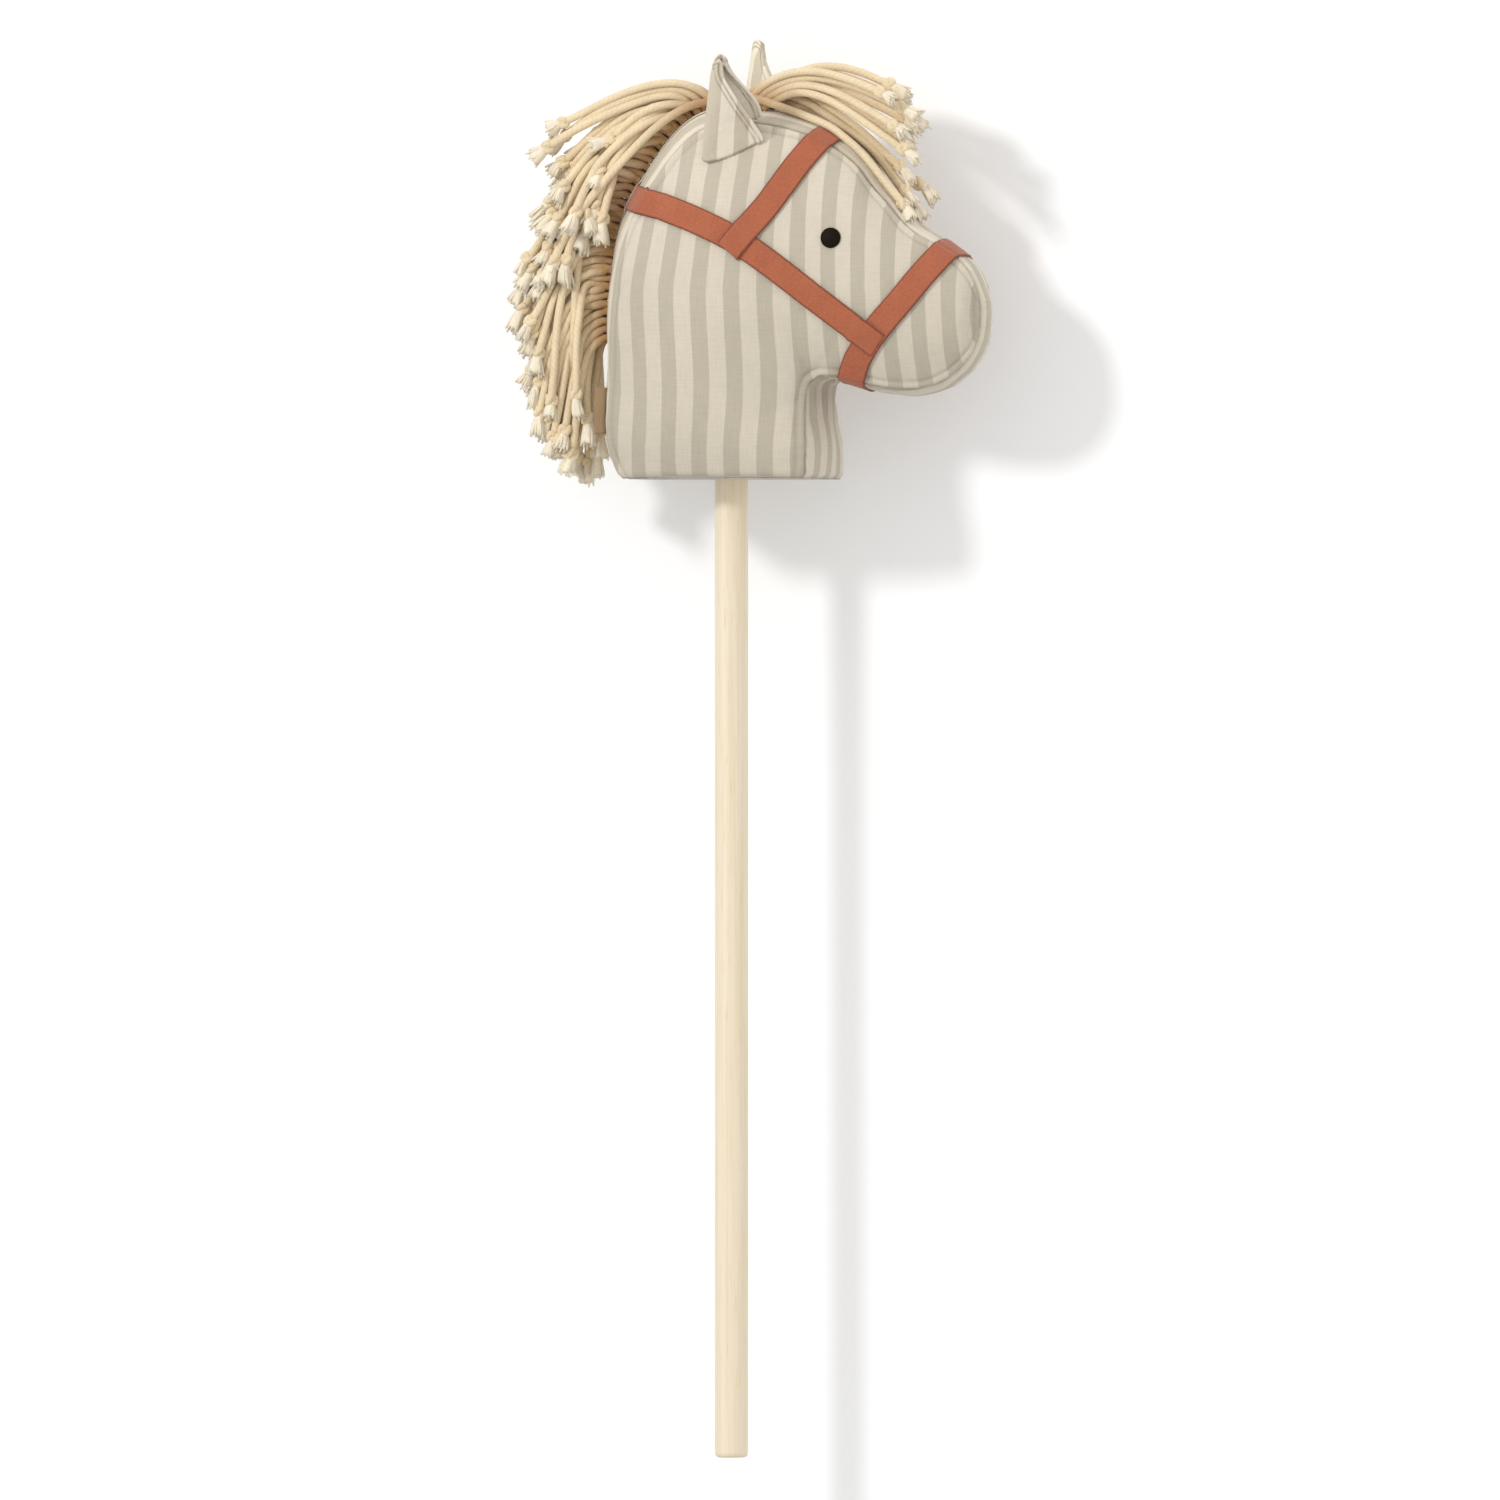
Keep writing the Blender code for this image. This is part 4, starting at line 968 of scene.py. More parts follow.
def side_rays(route):
    """Rays out of the right side along a smooth route."""
    count = max(2, round(sum(math.dist(a, b) for a, b in zip(route, route[1:])) * MM / RAY_SPACING))
    scale = (len(route) - 1) / count
    places = [Vector((x, 0, z)) * MM + FLOOR for x, z in (keyed(route, k * scale) for k in range(count + 1))]
    ways = [(places[min(k + 1, count)] - places[max(k - 1, 0)]).normalized() for k in range(count + 1)]
    return [(place, TO_RIGHT, ACROSS.cross(way)) for place, way in zip(places, ways)]


def wrap(place, over, steps=26):
    """Rays from one place that turn from the right side to a way in the middle plane."""
    out = Vector((over[0], 0, over[1])).normalized()
    angles = [math.pi / 2 * k / steps for k in range(1, steps + 1)]
    return [(place, TO_RIGHT * math.cos(a) + out * math.sin(a), ACROSS.cross(out)) for a in angles]


def mirrored(rays):
    return [(place, Vector((out.x, -out.y, out.z)), beside) for place, out, beside in rays[::-1]]


RIBBON_COLUMNS = 8
RIBBON_BEAD = 0.00022
RIBBON_END = (0.55, 0.85, 0.97)


def with_ends(grid, around):
    """A grid with one more row at each end: the next one in a ring, or else the end's own again."""
    return np.pad(grid, ((1, 1), (0, 0), (0, 0)), mode="wrap" if around else "edge")


def evened(normal, around, rounds=5):
    """Normals averaged with those beside, ahead and behind, so that a groove under a ribbon tilts none."""
    for _ in range(rounds):
        wide = np.pad(normal, ((0, 0), (1, 1), (0, 0)), mode="edge")
        long = with_ends(wide[:, :-2] + wide[:, 1:-1] + wide[:, 2:], around)
        normal = long[:-2] + long[1:-1] + long[2:]
        normal = normal / np.linalg.norm(normal, axis=2, keepdims=True)
    return normal


def draped(hits, normal, around, rounds=6):
    """Height of a taut ribbon, which bridges small hollows: each point is raised toward its neighbours."""
    lift = np.full(hits.shape[:2], RIBBON_REST)
    for _ in range(rounds):
        place = hits + normal * lift[..., None]
        long = with_ends(place, around)
        beside = place.copy()
        beside[:, 1:-1] = (place[:, :-2] + place[:, 2:]) / 2
        pull = ((0.3 * (long[2:] + long[:-2]) + 0.4 * beside - place) * normal).sum(axis=2)
        if not around:
            pull[[0, -1]] = 0
        lift = np.maximum(lift + pull * 0.5, RIBBON_REST)
    return lift


def lay_ribbon(name, layers, rays, look, around=False, width=RIBBON_WIDTH):
    """A ribbon laid along rays over what is in layers, with beaded edges, then added to layers."""
    tree = tree_of(layers)
    shares = np.linspace(-1, 1, RIBBON_COLUMNS + 1)
    hits = grid_of([surface_hit(tree, place + beside * width / 2 * c, out) for c in shares.tolist()]
                   for place, out, beside in rays)
    normal = normals_of(with_ends(hits, True))[1:-1] if around else normals_of(hits)
    normal = evened(turned_to(normal, np.array([out[:] for _, out, _ in rays])[:, None]), around)
    points = hits + normal * draped(hits, normal, around)[..., None]
    for spot in np.ndindex(points.shape[:2]):
        short = RIBBON_REST - height_above(tree, Vector(points[spot]))
        if 0 < short < 0.004:
            points[spot] += normal[spot] * short
    thick = np.full(len(points), RIBBON_THICKNESS)
    if around:
        points, normal = (np.concatenate([array, array[:1]]) for array in (points, normal))
        thick = np.append(thick, RIBBON_THICKNESS)
    else:
        thick[:3] *= RIBBON_END
        thick[-3:] *= RIBBON_END[::-1]
    bead = RIBBON_BEAD * bell(1 - np.abs(shares), 0.16)
    upper = points + normal * (thick[:, None] + bead)[..., None]
    along = lengths_along(points, 0)[:, RIBBON_COLUMNS // 2]
    uv = np.stack(np.broadcast_arrays(shares * width / 2, along[:, None]), -1)
    ring = 0 if around else None
    made = shell(name, upper, points, uv, look, ring=ring)
    layers.append(upper)
    layers.extend(np.stack(pair) for pair in zip(edges_of(upper, ring), edges_of(points, ring)))
    return made


def half_way(route, over):
    """Rays along the right side and on, over the head's edge, to its middle."""
    rays = side_rays(route)
    return rays + wrap(rays[-1][0], over)


def make_bridle(layers, look):
    half = half_way(NOSEBAND_ROUTE, NOSEBAND_UNDER_JAW)
    nose = wrap(half[0][0], NOSEBAND_OVER_NOSE)
    half = [(place, out, -beside) for place, out, beside in nose[::-1]] + half
    made = [lay_ribbon("noseband_tape", layers, half + mirrored(half[1:-1]), look, around=True)]
    for name, route, over in (("headstall_tape", HEADSTALL_ROUTE, HEADSTALL_OVER_NAPE),
                              ("browband_tape", BROWBAND_ROUTE, BROWBAND_OVER_BROW)):
        half = half_way(route, over)
        made.append(lay_ribbon(name, layers, half + mirrored(half[:-1]), look))
    return made


# Ears

EAR_LENGTH = 0.066
EAR_UPRIGHT = math.radians(4)
RIGHT_EAR_REST = math.radians(31)
EAR_REAR_PLACE = (-0.007, 0.0405)
EAR_FRONT_PLACE = (0.034, 0.0275)
EAR_BASE_HEIGHT = 0.220
EAR_FOLD = ((0, -20.4), (0.38, -17.7), (0.7, -15.8), (0.93, -14.2), (1, -12.5))
EAR_NEAR_RIM = ((0, 20), (0.25, 11.5), (0.5, 2.5), (0.88, -10), (1, -9))
EAR_FAR_RIM = ((0, 20.5), (0.2, 18.5), (0.4, 13.0), (0.62, 5.5), (0.83, -0.5), (1, -4.5))
EAR_HALF_WIDTH = ((0, 5), (0.3, 6.2), (0.6, 7.5), (0.85, 5.2), (1, 2.0))
EAR_SEAT = 0.0004
EAR_TIP_DROP = 0.0045
EAR_CORNER_DROP = 0.0035
EAR_TIP = -9.3
EAR_TIP_HALF = 4.0
EAR_HEM = 0.0014
EAR_HEM_WIDTH = 0.0027
EAR_GAP = 0.00012
EAR_LEAF = 0.0011
EAR_RIM_DROP = 0.0008
EAR_GROOVE = 0.0004
EAR_STRIPE = 0.0100
LEFT_EAR_MORE = 0.004
EAR_ROWS = 52
EAR_COLUMNS = 64
EAR_HINGE = {
    RIGHT: (Vector((0.01413, -0.03912, 0.85504)), Vector((0.89657, 0.17642, 0.40626))),
    LEFT: (Vector((0.01413, 0.03912, 0.85504)), Vector((-0.89657, 0.17642, -0.40625))),
}


def ear_grid(side, turn, tree, shares):
    """Places over an ear, folded along the rear and its foot sunk to the head, and its way out."""
    height = HEAD_FLOOR + EAR_BASE_HEIGHT
    rear, front = (Vector((x, side * y, height)) for x, y in (EAR_REAR_PLACE, EAR_FRONT_PLACE))
    ahead = (front - rear).normalized()
    out = Vector((-ahead.y, ahead.x, 0)) * side
    up = UP * math.cos(EAR_UPRIGHT) + out * math.sin(EAR_UPRIGHT)
    base = (rear + front) / 2
    middle, axis = EAR_HINGE[side]
    swing = Matrix.Translation(middle) @ Matrix.Rotation(turn, 4, axis) @ Matrix.Translation(-middle)

    def row_at(t):
        """Places of one row across the ear, all at the height of its base."""
        fold, near, far, half = (soft_level(pairs, t) * MM
                                 for pairs in (EAR_FOLD, EAR_NEAR_RIM, EAR_FAR_RIM, EAR_HALF_WIDTH))
        row = []
        for v in shares:
            forward = fold + ((near if v < 0 else far) - fold) * abs(v) ** 1.5
            across = -math.copysign(math.sin(math.pi / 2 * abs(v)) ** 0.8, v) * half
            row.append(base + ahead * forward + out * across)
        return row

    feet = []
    for place in row_at(0):
        start = place + up * EAR_LENGTH
        steps = (0, 0.0004, -0.0004, 0.0009, -0.0009)
        foot = first_hit(tree, (start + ahead * step for step in steps), -up)
        feet.append(EAR_LENGTH - (start - foot).dot(up) + EAR_SEAT)
    longest = EAR_LENGTH + (LEFT_EAR_MORE if side == LEFT else 0)
    tops = [longest - EAR_TIP_DROP * min(abs((place - base).dot(ahead) / MM - EAR_TIP) / EAR_TIP_HALF, 1) ** 2
            - EAR_CORNER_DROP * max((abs(v) - 0.6) / 0.4, 0) ** 2 for place, v in zip(row_at(1), shares)]
    rows = []
    for i in range(EAR_ROWS + 1):
        t = 0.4 * i / EAR_ROWS + 0.6 * math.sin(math.pi / 2 * i / EAR_ROWS)
        rows.append([swing @ (place + up * (foot * (1 - t) + top * t))
                     for place, foot, top in zip(row_at(t), feet, tops)])
    return grid_of(rows), (swing.to_3x3() @ out)[:]


def make_ear(side, name, turn, tree, look, lining_look):
    """Outer leaf and lining of one ear, with a double rolled hem, and the places between them."""
    evens = [2 * j / EAR_COLUMNS - 1 for j in range(EAR_COLUMNS + 1)]
    shares = [0.35 * even + 0.65 * math.sin(math.pi / 2 * even) for even in evens]
    grid, out = ear_grid(side, turn, tree, shares)
    normal = normals_of(grid)
    normal *= np.sign(normal[EAR_ROWS // 2, 4] @ out)
    across, along = (lengths_along(grid, axis) for axis in (1, 0))
    width = across[:, -1:]
    from_side = np.minimum(across, width - across)
    from_tip = along[-1:] - along
    rim = np.minimum(from_side, from_tip)
    fade = np.where(from_tip < from_side, np.clip(np.abs(shares) * 1.4, 0.15, 1), 1)
    roll = -EAR_RIM_DROP * bell(rim, 0.0005)
    # Painted shade along the ear's foot, where it meets the head
    depth = 0.5 * bell(along, 0.0012)
    half_hem = EAR_HEM_WIDTH / 2
    for k, height in enumerate((EAR_HEM, EAR_HEM * 0.8)):
        off = rim - half_hem - k * EAR_HEM_WIDTH
        roll += height * fade * np.sqrt(np.clip(1 - (off / half_hem) ** 2, 0, 1))
        # Painted shadow in the groove beside each hem roll
        depth = np.maximum(depth, 0.85 * bell(off - half_hem, 0.0005))
    skin = EAR_GAP + EAR_LEAF + roll - EAR_GROOVE * bell(rim - 2 * EAR_HEM_WIDTH - 0.0003, 0.0005)
    # Painted shade inside the ear towards its tip
    deep_shade = np.clip((along / along[-1:] - 0.45) / 0.35, 0, 1) * bell(across / width - 0.5, 0.42)
    crumple = noise_at(grid, 0.012, 3.3 + side) * 0.0005 * np.clip(rim / 0.006, 0, 1)
    outer = grid + normal * (skin + crumple)[..., None]
    inner = grid - normal * skin[..., None]
    uv = np.stack([across - width / 2 + EAR_STRIPE, along], -1)
    cover = shell(name + "_ear_leaf", outer, grid + normal * EAR_GAP, uv, look, depth)
    lining = shell(name + "_ear_inside", inner, grid - normal * EAR_GAP, uv, lining_look,
                   np.maximum(depth, deep_shade))
    return cover, lining, grid


# Eyes and small parts

EYE_PLACE = Vector((0.082, 0, 0.1575 + HEAD_FLOOR))
EYE_RADIUS = 0.00675
EYE_EDGE = 0.0006
EYE_DOME = 0.0021
EYE_SHANK = 0.012
TAB_LOW, TAB_HIGH = 0.030, 0.060
TAB_REACH = 0.0078
TAB_HALF = 0.0003
TAB_STEPS, TAB_TURNS = 16, 22
NECK = HEAD_FLOOR + 0.030
CEILING = HEAD_FLOOR + 0.1753
TIE_RADIUS = 0.0015


def make_eye(name, side, tree, look):
    """A low domed eye with a rolled edge, on its shank."""
    r = EYE_RADIUS
    place, ahead, behind, above, below = (
        surface_hit(tree, EYE_PLACE + Vector(step) * r, ACROSS * side)
        for step in ((0, 0, 0), (1, 0, 0), (-1, 0, 0), (0, 0, 1), (0, 0, -1)))
    way = (ahead - behind).cross(above - below).normalized()
    way = way if way.y * side > 0 else -way
    profile = [(0.002, -EYE_SHANK), (0.002, 0.0), (r - 0.0012, 0.0), (r - 0.0004, 0.0001), (r, EYE_EDGE)]
    rises = [math.pi / 2 * k / 12 for k in range(1, 12)]
    profile += [(r * math.cos(a), EYE_EDGE + EYE_DOME * math.sin(a)) for a in rises]
    turn = UP.rotation_difference(way).to_matrix()
    angles = np.linspace(0, 2 * math.pi, 49).tolist()
    rows = grid_of([place + turn @ Vector((wide * math.cos(a), wide * math.sin(a), z)) for a in angles]
                   for wide, z in profile)
    uv = np.stack(np.broadcast_arrays(angles, np.arange(len(profile))[:, None] * MM), -1)
    build = Builder()
    build.grid(rows, uv)
    build.fan(rows[0][:-1], (place - way * EYE_SHANK)[:], (0, 0))
    build.fan(rows[-1][:-1], (place + way * (EYE_EDGE + EYE_DOME))[:], (0, 0))
    return build.finish(name, look)


def make_tab(look):
    """A strip of tape folded in a flat loop and caught in the right rear seam."""
    stations_up = [k / 200 for k in range(200 * LAST)]
    angles = np.linspace(0, math.pi, TAB_TURNS + 1).tolist()
    rows = []
    for k in range(TAB_STEPS + 1):
        z = TAB_LOW + (TAB_HIGH - TAB_LOW) * k / TAB_STEPS
        place, out, half, _ = seams(next(t for t in stations_up if keyed(SECTIONS, t)[3] * MM >= z))[1]
        row = []
        for a in angles:
            reach = TAB_REACH * max(math.sin(a), 0) ** 0.45 + TAB_HALF
            aside = math.cos(a) * (0.0009 + 0.0007 * math.sin(a)) + 0.0004 * math.sin(k * 0.5)
            row.append(place - ACROSS * half + out * reach + ACROSS * aside)
        rows.append(row)
    line = grid_of(rows)
    normal = normals_of(line)
    normal *= -np.sign(normal[TAB_STEPS // 2, TAB_TURNS // 2, 0])
    uv = np.stack([lengths_along(line, 1), lengths_along(line, 0)], -1)
    made = shell("rear_tab", line + normal * TAB_HALF, line - normal * TAB_HALF, uv, look)
    return made


def turned_piece(name, profile, look, steps=48):
    """A turned skin about the stick from a profile that closes on itself."""
    angles = np.linspace(0, 2 * math.pi, steps + 1)
    rows = np.array([np.stack([np.cos(angles) * r, np.sin(angles) * r, np.full(steps + 1, z)], -1)
                     for r, z in profile + profile[:1]])
    uv = np.stack([np.broadcast_to(angles * 0.012, rows.shape[:2]), rows[..., 2]], -1)
    build = Builder()
    build.grid(rows, uv)
    return build.finish(name, look)


# Cords

CORD_RADIUS = 0.0027
CORD_POINTS = 20
CORD_SIDES = 10
KNOT_SIZE = 0.0036
KNOT_POINTS = 34
KNOT_THICK = 0.76
TUFT_LENGTH = 0.0115
TUFT_SIDES = 18
TUFT_STRANDS = 16
SKIN_ROOM = 0.0012
LAID_ROOM = 0.0002
KNOT_ROOM = 1.35
PUSH_SHARE = 0.34
PUSH_MOST = 0.0014
MANE_FROM, MANE_TO = 2.3, 6.45
FORELOCK_FROM, FORELOCK_TO = 6.84, 7.36
FORELOCK_ROWS, FORELOCK_LANES = 5, 3
TAPE_WIDTH = 0.010
TAPE_END = 0.05
MANE_ENDS = ((-22, -92), (-56, -68), (-72, -56), (-80, -54), (-98, -14))
MANE_PULLS = ((0, 24), (0.25, 34), (0.5, 38), (0.75, 36), (1, 40))
FORELOCK_ENDS = ((124, 172), (126, 196), (126, 226), (118, 246), (105, 261))
FORELOCK_ARCHES = ((0, 30), (0.25, 34), (0.5, 40), (0.75, 47), (1, 52))


def frames_along(path):
    """A normal and a side vector at each point of a path, carried along without twist."""
    tangent = np.gradient(path, axis=0)
    tangent /= np.maximum(np.linalg.norm(tangent, axis=1, keepdims=True), 1e-9)
    normal = np.zeros_like(path)
    start = np.cross(tangent[0], [0.1, 1, 0.3])
    normal[0] = start / np.linalg.norm(start)
    for k in range(1, len(path)):
        n = normal[k - 1] - tangent[k] * (normal[k - 1] @ tangent[k])
        normal[k] = n / np.linalg.norm(n)
    return normal, np.cross(tangent, normal)


def add_tube(build, path, radii, sides, phase=0.0, lobes=0.0, depth=0.0):
    """A closed tube along a path. Lobes give it the ridges of three strands that wind round it."""
    path = np.asarray(path, float)
    normal, side = (way[:, None] for way in frames_along(path))
    turn = np.linspace(0, 2 * math.pi, sides + 1)
    run = lengths_along(path[:, None], 0)
    ridge = 1 + lobes * np.sin(3 * (turn + 2 * math.pi * run / CORD_PITCH) + phase)
    reach = (np.reshape(radii, (-1, 1)) * ridge)[..., None]
    rows = path[:, None] + reach * (np.cos(turn)[:, None] * normal + np.sin(turn)[:, None] * side)
    uv = np.stack(np.broadcast_arrays(turn / (2 * math.pi) + phase, run), -1)
    depth = np.reshape(depth, (-1, 1))
    build.grid(rows, uv, depth=depth)
    build.fan(rows[0][:-1], path[0], uv[0, 0], flip=True, depth=depth[-1, 0])
    build.fan(rows[-1][:-1], path[-1], uv[-1, 0], depth=depth[-1, 0])


def knot_path(middle, way, beside, size):
    """A tight overhand knot about a middle, in line with the cord."""
    third = way.cross(beside).normalized()
    made = []
    for k in range(KNOT_POINTS):
        a = 2 * math.pi * k / (KNOT_POINTS - 1)
        x = math.sin(a) + 2 * math.sin(2 * a)
        y = math.cos(a) - 2 * math.cos(2 * a)
        spot = beside * x * 0.27 + third * y * 0.27 - way * math.sin(3 * a) * 0.62
        made.append((middle + spot * size)[:])
    return made


def add_end(build, tufts, path, rng, radius):
    """A knot on the end of a cord's path, and its strands loose beyond it, flared and cut off."""
    end = Vector(path[-1])
    way = (end - Vector(path[-4])).normalized()
    beside = way.orthogonal().normalized()
    beside.rotate(Matrix.Rotation(rng.uniform(0, 2 * math.pi), 3, way))
    size = KNOT_SIZE * rng.uniform(0.9, 1.12)
    add_tube(build, knot_path(end, way, beside, size), [radius * KNOT_THICK] * KNOT_POINTS, 8)
    start = end + way * size * 0.3
    length = TUFT_LENGTH * rng.uniform(0.75, 1.2)
    lean = Vector((rng.uniform(-1, 1), rng.uniform(-1, 1), rng.uniform(-1.8, 0))) * 0.002
    flare = rng.uniform(1.5, 2.0)
    around = [Matrix.Rotation(2 * math.pi * k / TUFT_SIDES, 3, way) @ beside for k in range(TUFT_SIDES)]
    uneven = [(rng.uniform(0.72, 1.0) if k % 2 else rng.uniform(0.9, 1.2), rng.uniform(0.86, 1.06))
              for k in range(TUFT_SIDES)]
    rows = []
    for i in range(7):
        q = i / 6
        row = []
        for off, (wide, long) in zip(around, uneven):
            reach = radius * (0.8 + (flare * wide - 0.8) * math.sin(math.pi / 2 * q) ** 0.8)
            row.append((start + way * length * (1 + (long - 1) * q) * q + off * reach + lean * q * q)[:])
        rows.append(row + row[:1])
    hollow = np.array(rows[-1]) * 0.45 + np.array((start + way * length * 0.86 + lean * 0.8)[:]) * 0.55
    rows.append(hollow.tolist())
    uv = [[(k / TUFT_SIDES, i * 0.002) for k in range(TUFT_SIDES + 1)] for i in range(8)]
    tufts.grid(rows, uv)
    tufts.fan(rows[0][:-1], start[:], (0, 0), flip=True)
    tufts.fan(rows[-1][:-1], (start + way * length * 0.8 + lean * 0.7)[:], (0, 0.016))
    for k in range(TUFT_STRANDS):
        off = Matrix.Rotation(2 * math.pi * rng.random(), 3, way) @ beside
        out = rng.uniform(0.5, 1.3) * flare
        own = length * rng.uniform(0.9, 1.2)
        curl = wander(rng, 0.0011)
        places = [(start + way * own * q + off * radius * (0.7 + (out - 0.7) * q) + (curl + lean) * q * q)[:]
                  for q in (0.3, 0.55, 0.8, 1.0)]
        add_tube(tufts, places, [0.0006, 0.0008, 0.0008, 0.0006], 4)


def clear_of_head(core, covered, point):
    """The point, moved out to lie on the head, or on what is laid on the head, at a cord's radius."""
    place, normal, _, _ = core.find_nearest(point)
    if height_above(core, point) < CORD_RADIUS + SKIN_ROOM:
        point = place + normal * (CORD_RADIUS + SKIN_ROOM)
    near, _, _, distance = covered.find_nearest(point)
    if distance < CORD_RADIUS + LAID_ROOM:
        way = (point - near).normalized() if distance > 1e-6 else normal
        point = near + (way if way.dot(normal) >= 0 else normal) * (CORD_RADIUS + LAID_ROOM)
    return point


def pushed(path, own, b, every):
    """A cord's point number b, moved away from other cords' points that lie too near."""
    wide = 2 * CORD_RADIUS * (KNOT_ROOM if b == len(path) - 1 else 1)
    push = Vector((0, 0, 0))
    for other, index, distance in every.find_range(path[b], wide):
        if index // len(path) != own and distance > 1e-7:
            push += (path[b] - other) * ((wide - distance) / distance * PUSH_SHARE)
    if push.length > PUSH_MOST:
        push *= PUSH_MOST / push.length
    return path[b] + push


def relaxed(paths, core, covered, rounds, fixed=2):
    """Moves cords apart and clear of the head, and keeps each one smooth and as long as it was."""
    count = len(paths[0])
    lengths = [[(b - a).length for a, b in zip(path, path[1:])] for path in paths]
    for turn in range(rounds):
        every = KDTree(len(paths) * count)
        for index, point in enumerate(point for path in paths for point in path):
            every.insert(point, index)
        every.balance()
        paths = [[*path[:fixed], *(pushed(path, own, b, every) for b in range(fixed, count))]
                 for own, path in enumerate(paths)]
        share = 0.25 if turn >= rounds - 2 else 0.4
        for path, spans in zip(paths, lengths):
            for b in range(fixed, count - 1):
                path[b] = path[b] * (1 - share) + (path[b - 1] + path[b + 1]) * (share / 2)
            for b in range(fixed, count):
                away = path[b] - path[b - 1]
                path[b] = path[b - 1] + away * (0.5 + 0.5 * spans[b - 1] / max(away.length, 1e-9))
            for b in range(1, count):
                path[b] = clear_of_head(core, covered, path[b])
    return paths


def bezier(points, count=CORD_POINTS):
    """Points on the curve that a control polygon of any length stands for."""
    made = []
    for k in range(count):
        row = [p.copy() for p in points]
        while len(row) > 1:
            row = [a.lerp(b, k / (count - 1)) for a, b in zip(row, row[1:])]
        made.append(row[0])
    return made


def smooth_path(points, step=0.0028):
    """Evenly spaced places on a smooth curve through points."""
    fine = np.array([keyed(points, t) for t in np.linspace(0, len(points) - 1, 6 * len(points))])
    run = lengths_along(fine[:, None], 0)[:, 0]
    at = np.linspace(0, run[-1], max(8, int(run[-1] / step)))
    return np.stack([np.interp(at, run, fine[:, c]) for c in range(3)], -1)


def top_line(t):
    """Place and way out on the middle of the gusset over the head."""
    place, out, _, crown = seams(t)[1]
    return place + out * crown, out


def even_stations(start, end, count):
    """Shares and places of cords at even distances along the gusset."""
    samples = [start + (end - start) * k / 300 for k in range(301)]
    lengths = lengths_along(grid_of([top_line(t)[0]] for t in samples), 0)[:, 0]
    shares = [(k + 0.5) / count for k in range(count)]
    return [(share, float(np.interp(share * lengths[-1], lengths, samples))) for share in shares]


def cord_root(covered, t, y):
    place, out = top_line(t)
    return surface_hit(covered, Vector((0, y, 0)) + place - out * TAPE_WIDTH, out) + out * 0.0008, out


def wander(rng, amount):
    return Vector([rng.uniform(-amount, amount) for _ in range(3)])


# Where the locks in front of the nape end, in millimetres over the head's floor: x, z and y
FRONT_LOCKS = ((-84, 178, 20), (-97, 174, 25), (-109, 168, 20), (-112, 143, 24))
FRONT_FROM = 4.7
HANG_FROM, HANG_TO = 2.6, 4.3
MANE_LOWEST = 0.014


def mane_end(share):
    """How far back and down the mane ends at a share of its tape, in mm, and how high it rises there."""
    return *keyed(MANE_ENDS, share * (len(MANE_ENDS) - 1)), level(MANE_PULLS, share) * MM


